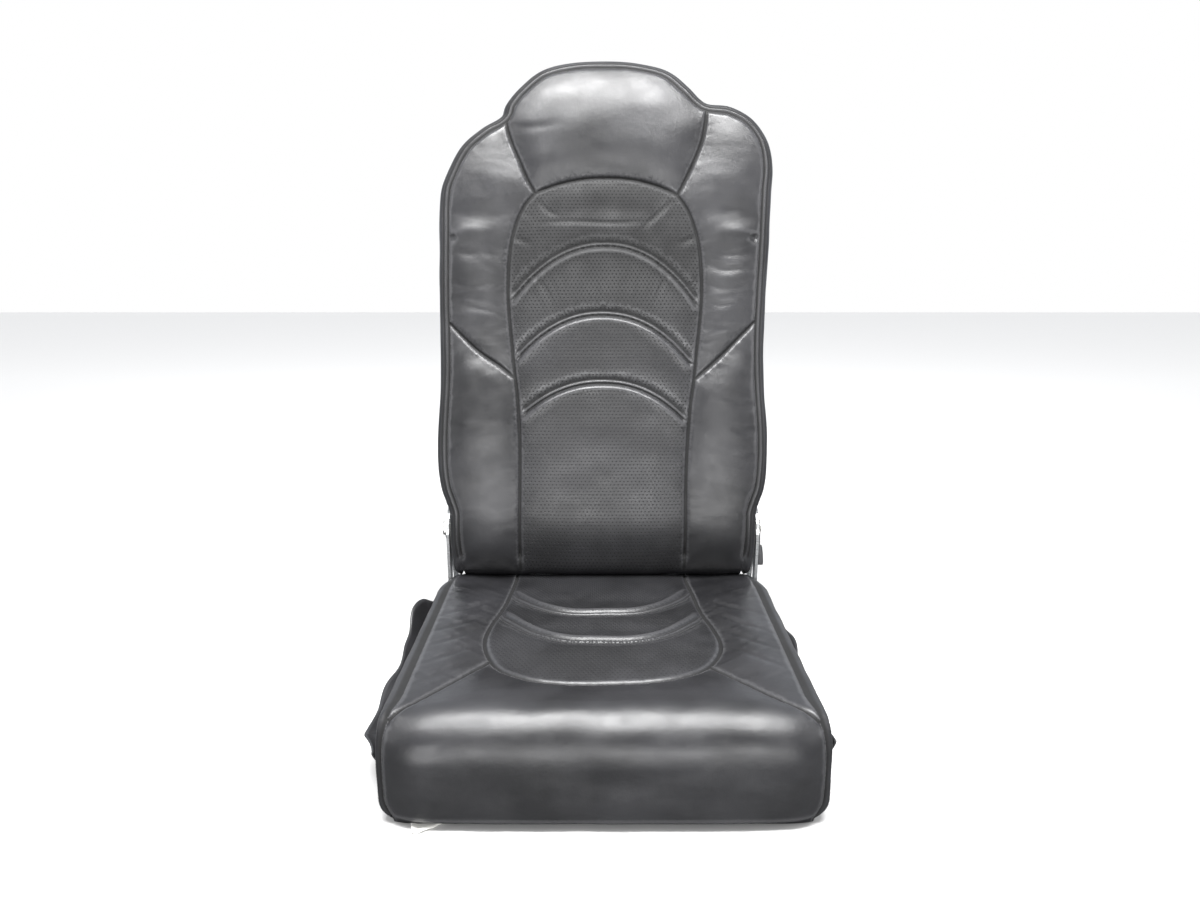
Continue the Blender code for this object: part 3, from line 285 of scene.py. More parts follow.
def ripple(u: np.ndarray, v: np.ndarray, seed: int) -> np.ndarray:
    """Smooth gradient noise over the plane.

    Args:
        u: the first coordinate, in cells of the noise.
        v: the second one.
        seed: the number of the pattern.

    Returns:
        The noise, from about -1 to 1.
    """
    iu, iv = np.floor(u), np.floor(v)
    fu, fv = u - iu, v - iv
    by_column, by_row, by_seed, spread = HASH

    def corner(a: float, b: float) -> np.ndarray:
        """The slope of one corner of the cell, at the point."""
        value = np.sin((iu + a) * by_column + (iv + b) * by_row + seed * by_seed) * spread
        turn = 2.0 * math.pi * (value - np.floor(value))
        return np.cos(turn) * (fu - a) + np.sin(turn) * (fv - b)

    eased_u, eased_v = (share ** 3 * (share * (share * 6.0 - 15.0) + 10.0) for share in (fu, fv))
    low = corner(0, 0) * (1.0 - eased_u) + corner(1, 0) * eased_u
    high = corner(0, 1) * (1.0 - eased_u) + corner(1, 1) * eased_u
    return 1.6 * (low * (1.0 - eased_v) + high * eased_v)


def wrinkled(along: np.ndarray, across: np.ndarray, long: float, wide: float, seed: int) -> np.ndarray:
    """Drawn-out wrinkles that wander, from about -1 to 1.

    Args:
        along: the coordinate along the wrinkles.
        across: the coordinate across them.
        long: how long they are.
        wide: how wide they are.
        seed: the number of the pattern.

    Returns:
        The height of each point.
    """
    bent = across + 0.5 * wide * ripple(along / long, across / (3.0 * wide), seed + 50)
    coarse = ripple(along / long, bent / wide, seed)
    fine = ripple(along / (0.6 * long), bent / (0.55 * wide), seed + 100)
    ridge = 1.0 - 2.0 * np.abs(coarse)
    return 0.75 * coarse + 0.12 * ridge + 0.18 * fine


# Seams, creases and padded meshes


@dataclass(frozen=True)
class Seam:
    """A seam in the flat plan of a cover, with the offsets of its rows of stitches in millimetres.

    Leather gathers beside it by the height given, and a fold stands out by its share of a full one.
    """

    line: Line
    kind: SeamKind = SeamKind.VALLEY
    stitched: tuple[float, ...] = ()
    gather: float = 0.6 * MM
    fold: float = 1.0


@dataclass(frozen=True)
class Crease:
    """A crease, or with a negative depth a ridge, in the flat plan of a cover; in millimetres."""

    depth: float
    width: float
    points: tuple[tuple[float, float], ...]

    def depth_at(self, flat: Line) -> np.ndarray:
        """Measures the crease.

        Args:
            flat: flat points of the cover.

        Returns:
            How deep it is at each of them, in metres.
        """
        line = spline(metres(self.points), 4.0 * MM)
        distance, arc, _ = nearest(flat, line)
        length = float(np.linalg.norm(np.diff(line, axis=0), axis=1).sum())
        taper = np.sin(np.pi * np.clip(arc / length, 0.03, 0.97)) ** 0.7
        return self.depth * MM * taper * np.exp(-(distance / (self.width * MM)) ** 2)


def creases(*rows: tuple) -> tuple[Crease, ...]:
    """Creases from rows of numbers: the depth, the width, and then the points."""
    return tuple(Crease(depth, width, tuple(points)) for depth, width, *points in rows)


@dataclass(frozen=True)
class Pad:
    """How a panel is stuffed: its height, how wide its rounded edge is, and its broad crown."""

    height: float
    edge: float
    crown: float

    def height_at(self, distance: np.ndarray) -> np.ndarray:
        """The height of the panel, by the distance from its seam."""
        edge = self.height * (1.0 - np.exp(-distance / self.edge))
        return edge + self.crown * (1.0 - np.exp(-distance / (60.0 * MM)))


PADS = {
    Panel.HEAD: Pad(12.0 * MM, 20.0 * MM, 4.0 * MM),
    Panel.BAND: Pad(5.0 * MM, 9.0 * MM, 3.0 * MM),
    Panel.WING: Pad(7.0 * MM, 13.0 * MM, 3.0 * MM),
    Panel.BOLSTER: Pad(10.0 * MM, 16.0 * MM, 4.0 * MM),
    Panel.SIDE: Pad(5.0 * MM, 12.0 * MM, 2.0 * MM),
    Panel.FRONT: Pad(7.0 * MM, 16.0 * MM, 3.0 * MM),
    Panel.BOXING: Pad(2.5 * MM, 9.0 * MM, 1.0 * MM),
}


def stuffed_height(panel: np.ndarray, distance: np.ndarray) -> np.ndarray:
    """Stuffs the panels of a front.

    Args:
        panel: the panel of each point.
        distance: how far each point is from its seam.

    Returns:
        The height of each point.
    """
    height = np.zeros(len(panel))
    for kind, pad in PADS.items():
        height = np.where(panel == kind.value, pad.height_at(distance), height)
    return height


def fold_height(e: np.ndarray) -> np.ndarray:
    """Shapes a folded seam: a narrow proud strip over a crowned edge.

    Args:
        e: the distance below the seam, negative above it.

    Returns:
        The height.
    """
    e = e / MM
    above = -5.5 * np.exp(np.minimum(e, 0.0) / 8.0)
    strip = -5.5 + 3.4 * np.sin(np.pi * np.clip(e / 5.5, 0.0, 1.0))
    beyond = np.maximum(e - 5.5, 0.0)
    crown = 1.8 * np.exp(-((e - 12.0) / 5.0) ** 2) * (1.0 - np.exp(-beyond / 2.0))
    below = -5.5 * np.exp(-beyond / 3.3) + crown
    return np.where(e < 0.0, above, np.where(e < 5.5, strip, below)) * MM


def fold_shade(e: np.ndarray) -> np.ndarray:
    """Finds where a fold shades the leather and keeps it from rubbing: dark lines along it and a wide painted
    shade above it.

    Args:
        e: the distance below the fold, negative above it.

    Returns:
        How dark the painted shade is, from 0 to 1.
    """
    e = e / MM
    lines = np.maximum(np.exp(-((e - 5.5) / 1.5) ** 2), 0.8 * np.exp(-((e + 0.4) / 1.4) ** 2))
    return np.maximum(lines, 0.55 * np.exp(np.minimum(e, 0.0) / 9.0) * (e < 0.0))


def seam_shade(distance: np.ndarray) -> np.ndarray:
    """The painted shade of a seam's groove, where the leather is also less rubbed, by the distance from the seam,
    from 0 to 1.
    """
    return np.exp(-(distance / (2.3 * MM)) ** 2)


def groove_depth(distance: np.ndarray) -> np.ndarray:
    """How deep the leather is drawn in, by the distance from a seam."""
    return 2.5 * MM * np.exp(-(distance / (2.5 * MM)) ** 2)


@dataclass
class Cover:
    """A padded leather cover: a flat front cut along its seams, and a boxing round it.

    The front is triangulated in its flat plan and placed by a function, and the boxing is a grid of columns
    that start at the points of the outline.
    """

    outline: Line
    seams: list[Seam]
    spacing: float = 3.0 * MM
    points: Line = field(default_factory=lambda: np.zeros((0, 3)))
    flat: Line = field(default_factory=lambda: np.zeros((0, 2)))
    faces: list[tuple[int, ...]] = field(default_factory=list)
    leathers: list[int] = field(default_factory=list)
    front_count: int = 0
    outline_ids: list[int] = field(default_factory=list)
    # painted shade of each point: its seams' grooves and its folds
    painted_shade: np.ndarray = field(default_factory=lambda: np.zeros(0))
    worn: np.ndarray = field(default_factory=lambda: np.zeros(0))
    pricked: np.ndarray = field(default_factory=lambda: np.zeros(0))
    grid: np.ndarray = field(default_factory=lambda: np.zeros((0, 0), int))

    def __post_init__(self) -> None:
        """Cuts each seam 1 mm short of the outline and of the seams before it, to its longest stretch."""
        tidied: list[Seam] = []
        for seam in self.seams:
            if seam.kind is not SeamKind.WELT:
                keep = inside(seam.line, self.outline) & (nearest(seam.line, self.closed())[0] > 1.0 * MM)
                for other in tidied:
                    if other.kind is not SeamKind.WELT:
                        keep &= nearest(seam.line, other.line)[0] > 1.0 * MM
                seam = replace(seam, line=max(runs(seam.line, keep), key=len))
            tidied.append(seam)
        self.seams = tidied

    def closed(self) -> Line:
        """The outline, with its first point again at its end."""
        return np.vstack([self.outline, self.outline[:1]])

    def flat_points(self) -> tuple[Line, list[tuple[int, int]]]:
        """Spreads points over the flat plan.

        Returns:
            The points, with those of the outline and the seams first, and the edges between those.
        """
        sewn = [seam for seam in self.seams if seam.kind is not SeamKind.WELT]
        points, start = [self.outline], len(self.outline)
        edges = [(k, (k + 1) % start) for k in range(start)]
        for seam in sewn:
            points.append(seam.line)
            edges += [(start + k, start + k + 1) for k in range(len(seam.line) - 1)]
            start += len(seam.line)
        free = []
        for seam in sewn:
            normals = side_normals(seam.line)
            for offset in FOLD_ROWS if seam.kind is SeamKind.FOLD else VALLEY_ROWS:
                row = seam.line + normals * offset * MM
                keep = np.ones(len(row), bool)
                for other in sewn:
                    if other is not seam:
                        keep &= nearest(row, other.line)[0] > 1.3 * MM
                free.append(row[keep])
        low, high = self.outline.min(axis=0), self.outline.max(axis=0)
        across = np.arange(low[0], high[0], self.spacing)
        up = np.arange(low[1], high[1], self.spacing * math.sqrt(3.0) / 2.0)
        between = np.array([(x + (k % 2) * self.spacing / 2.0, y) for k, y in enumerate(up) for x in across])
        for seam in sewn:
            between = between[nearest(between, seam.line)[0] > ROWS_END]
        spread = np.vstack([*free, between])
        turn = np.arange(len(spread)) * GOLDEN_ANGLE
        spread += 0.07 * self.spacing * np.column_stack([np.cos(turn), np.sin(turn)])
        spread = spread[inside(spread, self.outline)]
        spread = spread[nearest(spread, self.closed())[0] > 0.6 * self.spacing]
        return np.vstack([*points, thinned(spread, 0.42 * self.spacing)]), edges

    def cut_front(self, place: Callable[[Line], Line]) -> None:
        """Triangulates the front in its flat plan and places it.

        Args:
            place: gives the places in space of flat points.
        """
        given, edges = self.flat_points()
        result = geometry.delaunay_2d_cdt([Vector(p) for p in given.tolist()], edges, [], 1, 1e-7, True)
        verts, _, faces, origins, _, _ = result
        self.flat = np.array([tuple(v) for v in verts])
        found = {source: k for k, sources in enumerate(origins) for source in sources}
        self.outline_ids = [found[k] for k in range(len(self.outline))]
        middles = self.flat[np.array([tuple(face) for face in faces])].mean(axis=1)
        self.faces = [tuple(face) for face, kept in zip(faces, inside(middles, self.outline)) if kept]
        self.points = place(self.flat)
        self.front_count = len(self.flat)

    def add_boxing(self, columns: np.ndarray, flat: np.ndarray, closed: bool) -> None:
        """Adds the boxing.

        Args:
            columns: places by row and column, of which the first row is the outline's own.
            flat: the same places in a flat plan of their own.
            closed: whether the last column meets the first.
        """
        rows, count, _ = columns.shape
        first = len(self.points)
        ids = np.array(self.outline_ids[:count])
        self.grid = np.vstack([ids, first + np.arange((rows - 1) * count).reshape(rows - 1, count)])
        self.points = np.vstack([self.points, columns[1:].reshape(-1, 3)])
        self.flat = np.vstack([self.flat, flat[1:].reshape(-1, 2)])
        for r in range(rows - 1):
            for c in range(count if closed else count - 1):
                d = (c + 1) % count
                self.faces.append((self.grid[r, c], self.grid[r, d], self.grid[r + 1, d], self.grid[r + 1, c]))

    def normals(self) -> Line:
        """Finds which way the leather faces.

        Returns:
            A unit normal for each point, from the faces round it.
        """
        result = np.zeros_like(self.points)
        for size in (3, 4):
            faces = np.array([face for face in self.faces if len(face) == size])
            if not len(faces):
                continue
            corners = self.points[faces]
            across = np.cross(corners[:, 1] - corners[:, 0], corners[:, -1] - corners[:, 0])
            for k in range(size):
                np.add.at(result, faces[:, k], across)
        return result / (np.linalg.norm(result, axis=1)[:, None] + TINY)

    def orient(self, outwards: Line) -> None:
        """Turns the faces outwards.

        Args:
            outwards: the way that each point should more or less face.
        """
        for number, face in enumerate(self.faces):
            corners = self.points[list(face)]
            across = np.cross(corners[1] - corners[0], corners[-1] - corners[0])
            if across @ outwards[list(face)].sum(axis=0) < 0.0:
                self.faces[number] = tuple(face[::-1])

    def swell(self, heights: np.ndarray, outwards: Line) -> None:
        """Moves each point out by its height.

        Args:
            heights: how far each point moves.
            outwards: the way that each point should more or less face.
        """
        normals = self.normals()
        normals *= np.sign((normals * outwards).sum(axis=1))[:, None]
        self.points = self.points + normals * heights[:, None]

    def relax(self, values: np.ndarray, held: np.ndarray, rounds: int) -> np.ndarray:
        """Evens out values over the front.

        Args:
            values: a value for each point of the front.
            held: the points whose values stay.
            rounds: how many times each value becomes its neighbours' mean.

        Returns:
            The evened values.
        """
        count = self.front_count
        faces = np.array([face for face in self.faces if len(face) == 3 and max(face) < count])
        edges = np.vstack([faces[:, (0, 1)], faces[:, (1, 2)], faces[:, (2, 0)]])
        a, b = edges.T
        degree = np.bincount(a, minlength=count) + np.bincount(b, minlength=count)
        for _ in range(rounds):
            total = np.bincount(a, values[b], count) + np.bincount(b, values[a], count)
            values = np.where(held, values, total / np.maximum(degree, 1))
        return values

    def relief(self, height: np.ndarray) -> np.ndarray:
        """Finds the ridges of the front.

        Args:
            height: how far each point stands out.

        Returns:
            How proud each point stands of those round it, from -1 in a groove to 1 on a ridge.
        """
        front = height[:self.front_count]
        evened = self.relax(front, np.zeros(len(front), bool), 2)
        result = np.zeros(len(self.points))
        result[:self.front_count] = np.clip((front - evened) / (0.30 * MM), -1.0, 1.0)
        return result

    def gathered(self, height: np.ndarray, fade: np.ndarray, seed: int) -> np.ndarray:
        """Adds the folds, and the leather gathered beside each seam.

        Args:
            height: the height of each point of the front.
            fade: how far a fold shows at each point, from 0 to 1.
            seed: the number of the gathers' pattern.

        Returns:
            The new heights; the painted shade and the holes of the folds are noted in the cover.
        """
        for seam in self.seams:
            distance, arc, side = nearest(self.flat[:self.front_count], seam.line)
            if seam.kind is SeamKind.FOLD:
                below = -side * distance
                height = height + seam.fold * fold_height(below) * fade
                # painted shade of the fold
                self.painted_shade = np.maximum(self.painted_shade, fade * fold_shade(below))
                self.pricked = np.where((below > -3.0 * MM) & (below < 14.0 * MM), 0.0, self.pricked)
            gather = seam.gather * np.exp(-distance / (7.0 * MM)) * (1.0 - np.exp(-distance / (2.0 * MM)))
            height = height + gather * ripple(arc / (12.0 * MM), 0.0 * arc, seed)
        return height

    def creased(self, height: np.ndarray, near: np.ndarray, rows: Sequence[Crease]) -> np.ndarray:
        """Presses creases into the front.

        Args:
            height: the height of each point of the front.
            near: how far each point is from a seam.
            rows: the creases.

        Returns:
            The new heights.
        """
        flat = self.flat[:self.front_count]
        for crease in rows:
            height = height - crease.depth_at(flat) * smoothstep(0.0, 6.0 * MM, near)
        return height

    def fill_out(self, height: np.ndarray, low: Sequence[float], high: Sequence[float]) -> None:
        """Turns the faces outwards, swells the cover and notes where it is rubbed.

        Args:
            height: how far each point stands out.
            low: the lower corner of a box that the leather faces away from.
            high: the upper corner of it.
        """
        outwards = self.points - np.clip(self.points, low, high)
        self.orient(outwards)
        self.swell(height, outwards)
        self.worn = self.relief(height)

    def choose_leathers(self, panels: Callable[[Line], np.ndarray], foot: float = -1.0) -> None:
        """Gives the bands the perforated leather and all else the plain one.

        Args:
            panels: gives the panel of each flat point.
            foot: the flat height below which no leather is perforated.
        """
        centres = np.array([self.flat[list(face)].mean(axis=0) for face in self.faces])
        is_front = np.array([max(face) < self.front_count for face in self.faces])
        band = (panels(centres) == Panel.BAND.value) & is_front & (centres[:, 1] > foot)
        self.leathers = np.where(band, Leather.PERFORATED.value, Leather.PLAIN.value).tolist()

    def lift(self, line: Line, height: float) -> Line:
        """Lays a flat line on the finished front.

        Args:
            line: the line in the flat plan.
            height: how far it lies above the leather.

        Returns:
            The points of the line in the cover's own space.
        """
        faces = [face for face in self.faces if max(face) < self.front_count]
        plan = [Vector((x, y, 0.0)) for x, y in self.flat[:self.front_count].tolist()]
        tree = BVHTree.FromPolygons(plan, faces)
        normals = self.normals()
        laid = []
        for x, y in line.tolist():
            place, _, index, _ = tree.find_nearest(Vector((x, y, 0.0)))
            face = faces[index]
            corners = [Vector((self.points[k] + normals[k] * height).tolist()) for k in face]
            laid.append(tuple(geometry.barycentric_transform(place, *[plan[k] for k in face], *corners)))
        return np.array(laid)

    def stitch_rows(self) -> list[Line]:
        """Lays the rows of thread along the seams.

        Returns:
            The rows, in the cover's own space.
        """
        rows = []
        for seam in self.seams:
            for offset in seam.stitched:
                line = seam.line + side_normals(seam.line) * offset * MM
                keep = inside(line, self.outline) & (nearest(line, self.closed())[0] > 2.0 * MM)
                for other in self.seams:
                    if other is not seam and other.kind is not SeamKind.WELT:
                        keep &= nearest(line, other.line)[0] > 2.6 * MM
                rows += [self.lift(part, 0.15 * MM) for part in runs(line, keep)]
        return rows

    def build(
        self, name: str, place: Callable[[Line], Line], materials: Sequence[bpy.types.Material],
    ) -> bpy.types.Object:
        """Makes the object.

        Args:
            name: its name.
            place: takes points of the cover to the world.
            materials: its materials, in the order of the leathers.

        Returns:
            The object, at the origin.
        """
        faces = [tuple(int(k) for k in face) for face in self.faces]
        piece = add_piece(name, place(self.points), faces, materials)
        mesh = piece.data
        mesh.polygons.foreach_set("material_index", self.leathers)
        corners = np.concatenate([np.array(face) for face in self.faces])
        mesh.uv_layers.new(name="flat").data.foreach_set("uv", self.flat[corners].ravel())
        # the attributes: the rubbed ridges, the painted shade of grooves and folds, and where holes may be
        # punched
        for label, values in (("relief", self.worn), ("painted_shade", self.painted_shade), ("pricked", self.pricked)):
            attribute = mesh.attributes.new(label, "FLOAT", "POINT")
            attribute.data.foreach_set("value", np.resize(values, len(self.points)))
        mesh.update()
        return piece


def runs(line: Line, keep: np.ndarray) -> list[Line]:
    """The unbroken stretches of a line where keep holds, of at least four points."""
    stretches = np.split(np.arange(len(line)), np.flatnonzero(np.diff(keep.astype(int))) + 1)
    return [line[part] for part in stretches if len(part) >= 4 and keep[part[0]]]


def add_piece(
    name: str, points: Line, faces: Sequence[Sequence[int]], materials: Sequence[bpy.types.Material],
) -> bpy.types.Object:
    """Makes a smooth piece at the origin.

    Args:
        name: its name.
        points: its points in the world.
        faces: their numbers by face.
        materials: its materials, in the order of their slots.

    Returns:
        The piece.
    """
    mesh = bpy.data.meshes.new(name)
    mesh.from_pydata(points.tolist(), [], faces)
    for material in materials:
        mesh.materials.append(material)
    mesh.shade_smooth()
    piece = bpy.data.objects.new(name, mesh)
    bpy.context.collection.objects.link(piece)
    return piece


def closed_grid(first: np.ndarray, second: np.ndarray) -> tuple[Line, list[tuple[int, ...]]]:
    """Joins two grids of points that face away from each other into one closed mesh.

    Args:
        first: one grid, by row and column.
        second: the other one, of the same size.

    Returns:
        The points, and the faces.
    """
    rows, cols, _ = first.shape
    size = rows * cols
    faces: list[tuple[int, ...]] = []
    for r in range(rows - 1):
        for c in range(cols - 1):
            a, b = r * cols + c, (r + 1) * cols + c
            faces += [(a, b, b + 1, a + 1), (a + size, a + 1 + size, b + 1 + size, b + size)]
    rim = [(0, c) for c in range(cols)] + [(r, cols - 1) for r in range(1, rows)]
    rim += [(rows - 1, c) for c in range(cols - 2, -1, -1)] + [(r, 0) for r in range(rows - 2, 0, -1)]
    for (r, c), (s, d) in zip(rim, rim[1:] + rim[:1]):
        a, b = r * cols + c, s * cols + d
        faces.append((a, b, b + size, a + size))
    return np.concatenate([first, second]).reshape(-1, 3), faces


# Shader nodes and finishes


class Tree:
    """Short ways to add nodes to a tree."""

    def __init__(self, tree: bpy.types.NodeTree) -> None:
        """Takes the tree."""
        self.tree = tree

    def add(self, kind: str, inputs: dict | None = None, **settings: object) -> bpy.types.Node:
        """Adds a node.

        Args:
            kind: its type.
            inputs: a value or a socket for each of its inputs, by name or number.
            settings: its own properties.

        Returns:
            The node.
        """
        node = self.tree.nodes.new(kind)
        for key, value in settings.items():
            setattr(node, key, value)
        for key, value in (inputs or {}).items():
            self.give(node.inputs[key], value)
        return node

    def give(self, socket: bpy.types.NodeSocket, value: object) -> None:
        """Gives an input a value, or links a socket to it.

        Args:
            socket: the input.
            value: the value or the socket.
        """
        if isinstance(value, bpy.types.NodeSocket):
            self.tree.links.new(value, socket)
        else:
            socket.default_value = value

    def span(
        self, value: object, old: tuple[float, float], new: tuple[float, float],
    ) -> bpy.types.NodeSocket:
        """Takes a value from one range to another, smoothly and within its ends.

        Args:
            value: the value.
            old: the ends of its range.
            new: what they become.

        Returns:
            The new value.
        """
        inputs = {"Value": value, "From Min": old[0], "From Max": old[1], "To Min": new[0], "To Max": new[1]}
        return self.add("ShaderNodeMapRange", inputs, interpolation_type="SMOOTHSTEP").outputs["Result"]


class Nodes(Tree):
    """Short ways to build one material out of nodes."""

    def __init__(self, name: str) -> None:
        """Makes the material with its Principled shader.

        Args:
            name: the name of the material.
        """
        self.material = bpy.data.materials.new(name)
        self.material.use_nodes = True
        super().__init__(self.material.node_tree)
        self.shader = self.tree.nodes["Principled BSDF"]
        self.place = self.add("ShaderNodeTexCoord").outputs["Object"]

    def math(self, operation: str, *values: object) -> bpy.types.NodeSocket:
        """The result of a sum on numbers or sockets."""
        return self.add("ShaderNodeMath", dict(enumerate(values)), operation=operation).outputs[0]

    def vector(self, operation: str, *values: object) -> bpy.types.NodeSocket:
        """The result of a sum on vectors."""
        return self.add("ShaderNodeVectorMath", dict(enumerate(values)), operation=operation).outputs[0]

    def attribute(self, name: str) -> bpy.types.NodeSocket:
        """A number that the mesh holds for each point."""
        return self.add("ShaderNodeAttribute", attribute_name=name).outputs["Fac"]

    def noise(self, scale: float, detail: float = 3.0, place: object = None) -> bpy.types.NodeSocket:
        """Noise from 0 to 1."""
        inputs = {"Vector": place or self.place, "Scale": scale, "Detail": detail}
        return self.add("ShaderNodeTexNoise", inputs).outputs["Fac"]

    def marks(self, scale: tuple[float, float, float], detail: float) -> bpy.types.NodeSocket:
        """Noise that is drawn out along the axes with a small scale."""
        return self.noise(1.0, detail, self.vector("MULTIPLY", self.place, scale))

    def cells(self, scale: float, feature: str = "F1") -> bpy.types.NodeSocket:
        """The distance in a cell pattern."""
        inputs = {"Vector": self.place, "Scale": scale}
        return self.add("ShaderNodeTexVoronoi", inputs, feature=feature).outputs["Distance"]

    def blend(self, share: object, first: object, second: object) -> bpy.types.NodeSocket:
        """Mixes two colours.

        Args:
            share: the share of the second one.
            first: a colour or a socket.
            second: another one.

        Returns:
            The colour between them.
        """
        first, second = (
            value if isinstance(value, bpy.types.NodeSocket) else (*value, 1.0) for value in (first, second)
        )
        inputs = {"Factor": share, 6: first, 7: second}
        return self.add("ShaderNodeMix", inputs, data_type="RGBA").outputs[2]

    def set(self, name: str, value: object) -> None:
        """Gives an input of the shader a value or a socket."""
        self.give(self.shader.inputs[name], value)

    def bump(
        self, height: object, distance: float, strength: float = 1.0, below: object = None,
    ) -> bpy.types.NodeSocket:
        """Adds a relief and makes it the shader's normal.

        Args:
            height: the relief, from 0 to 1.
            distance: how high it is.
            strength: how strongly it shows.
            below: the relief that it is laid on.

        Returns:
            The normal.
        """
        inputs = {"Height": height, "Distance": distance, "Strength": strength}
        if below is not None:
            inputs["Normal"] = below
        normal = self.add("ShaderNodeBump", inputs).outputs["Normal"]
        self.set("Normal", normal)
        return normal


@dataclass(frozen=True)
class LeatherFinish:
    """Dyed leather with a fine grain, rubbed a little lighter on its ridges, with painted shade in its grooves,
    above its folds, on the back's upper bands and in its holes.
    """

    dark: Colour = (0.008, 0.008, 0.009)
    light: Colour = (0.017, 0.017, 0.019)
    rubbed: Colour = (0.055, 0.055, 0.058)
    # the painted shade colour, for grooves, folds, upper bands and holes
    painted_shade_colour: Colour = (0.002, 0.002, 0.002)
    roughness: tuple[float, float] = (0.35, 0.45)
    grain: float = 1.1 * MM
    hole_pitch: float = 5.6 * MM
    hole_radius: float = 1.1 * MM

    def holes(self, nodes: Nodes) -> bpy.types.NodeSocket:
        """Lays a staggered pattern of punched holes on the flat plan.

        Args:
            nodes: the nodes of the material.

        Returns:
            1 in the holes, 0 between them.
        """
        flat = nodes.add("ShaderNodeUVMap", uv_map="flat").outputs[0]
        wide, high = self.hole_pitch, self.hole_pitch * math.sqrt(3.0)
        scaled = nodes.vector("MULTIPLY", flat, (1.0 / wide, 1.0 / high, 0.0))
        distances = []
        for shift in (0.0, 0.5):
            part = nodes.vector("FRACTION", nodes.vector("ADD", scaled, (shift, shift, 0.0)))
            centred = nodes.vector("SUBTRACT", part, (0.5, 0.5, 0.0))
            real = nodes.vector("MULTIPLY", centred, (wide, high, 0.0))
            length = nodes.add("ShaderNodeVectorMath", {0: real}, operation="LENGTH")
            distances.append(length.outputs["Value"])
        distance = nodes.math("MINIMUM", *distances)
        return nodes.span(distance, (0.7 * self.hole_radius, 1.2 * self.hole_radius), (1.0, 0.0))

    def build(self, name: str, perforated: bool = False) -> bpy.types.Material:
        """Makes the material.

        Args:
            name: its name.
            perforated: whether the leather has punched holes.

        Returns:
            The material.
        """
        nodes = Nodes(name)
        relief, painted_shade = nodes.attribute("relief"), nodes.attribute("painted_shade")
        base = nodes.blend(nodes.span(nodes.noise(9.0, 5.0), (0.35, 0.65), (0.0, 1.0)), self.dark, self.light)
        pores = nodes.cells(1.0 / self.grain, "DISTANCE_TO_EDGE")
        base = nodes.blend(nodes.span(pores, (0.0, 0.12), (0.35, 0.0)), base, self.dark)
        colour = nodes.blend(nodes.span(relief, (0.15, 1.0), (0.0, 0.45)), base, self.rubbed)
        # painted shade: grooves, folds and upper bands darkened towards the shade colour
        colour = nodes.blend(nodes.span(painted_shade, (0.2, 0.9), (0.0, 0.9)), colour, self.painted_shade_colour)
        rough = nodes.span(nodes.noise(38.0, 4.0), (0.3, 0.7), self.roughness)
        rough = nodes.math("SUBTRACT", rough, nodes.span(relief, (0.2, 1.0), (0.0, 0.04)))
        rough = nodes.math("ADD", rough, nodes.span(painted_shade, (0.15, 0.8), (0.0, 0.5)))
        soft = nodes.bump(nodes.noise(46.0, 3.0), 0.8 * MM, 0.5)
        creased = nodes.bump(nodes.noise(190.0, 2.0), 0.20 * MM, 0.5, soft)
        grained = nodes.bump(nodes.span(pores, (0.0, 0.25), (0.0, 1.0)), 0.06 * MM, 0.5, creased)
        if perforated:
            holes = nodes.math("MULTIPLY", self.holes(nodes), nodes.attribute("pricked"))
            # the holes are painted with the shade colour, as painted shade inside them
            colour = nodes.blend(holes, colour, self.painted_shade_colour)
            rough = nodes.math("ADD", rough, nodes.math("MULTIPLY", holes, 0.4))
            nodes.bump(nodes.math("SUBTRACT", 1.0, holes), 0.5 * MM, 1.0, grained)
        nodes.set("Base Color", colour)
        nodes.set("Roughness", rough)
        nodes.set("Specular IOR Level", 0.5)
        nodes.set("Coat Weight", 0.08)
        nodes.set("Coat Roughness", 0.32)
        return nodes.material


@dataclass(frozen=True)
class MetalFinish:
    """Bare or plated metal with fine marks along one axis and light staining."""

    colour: Colour
    stain: Colour
    roughness: tuple[float, float]
    marks: tuple[float, float, float] = (40.0, 900.0, 900.0)

    def build(self, name: str) -> bpy.types.Material:
        """Makes the material.

        Args:
            name: its name.

        Returns:
            The material.
        """
        nodes = Nodes(name)
        cloud = nodes.span(nodes.noise(30.0, 6.0), (0.4, 0.7), (0.0, 0.8))
        lines = nodes.marks(self.marks, 4.0)
        rough = nodes.span(lines, (0.3, 0.7), self.roughness)
        nodes.set("Base Color", nodes.blend(cloud, self.colour, self.stain))
        nodes.set("Metallic", 1.0)
        nodes.set("Roughness", nodes.math("ADD", rough, nodes.math("MULTIPLY", cloud, 0.08)))
        nodes.bump(lines, 0.03 * MM, 0.5)
        return nodes.material


@dataclass(frozen=True)
class PaintFinish:
    """Baked paint with a faint orange peel and dulled patches."""

    colour: Colour
    worn: Colour
    roughness: tuple[float, float]
    peel: float = 420.0

    def build(self, name: str) -> bpy.types.Material:
        """Makes the material.

        Args:
            name: its name.

        Returns:
            The material.
        """
        nodes = Nodes(name)
        cloud = nodes.span(nodes.noise(55.0, 6.0), (0.45, 0.75), (0.0, 1.0))
        scuffs = nodes.span(nodes.marks((900.0, 120.0, 300.0), 5.0), (0.62, 0.75), (0.0, 0.6))
        nodes.set("Base Color", nodes.blend(nodes.math("MULTIPLY", cloud, scuffs), self.colour, self.worn))
        nodes.set("Roughness", nodes.span(cloud, (0.0, 1.0), self.roughness))
        nodes.bump(nodes.noise(self.peel, 2.0), 0.05 * MM, 0.6)
        return nodes.material


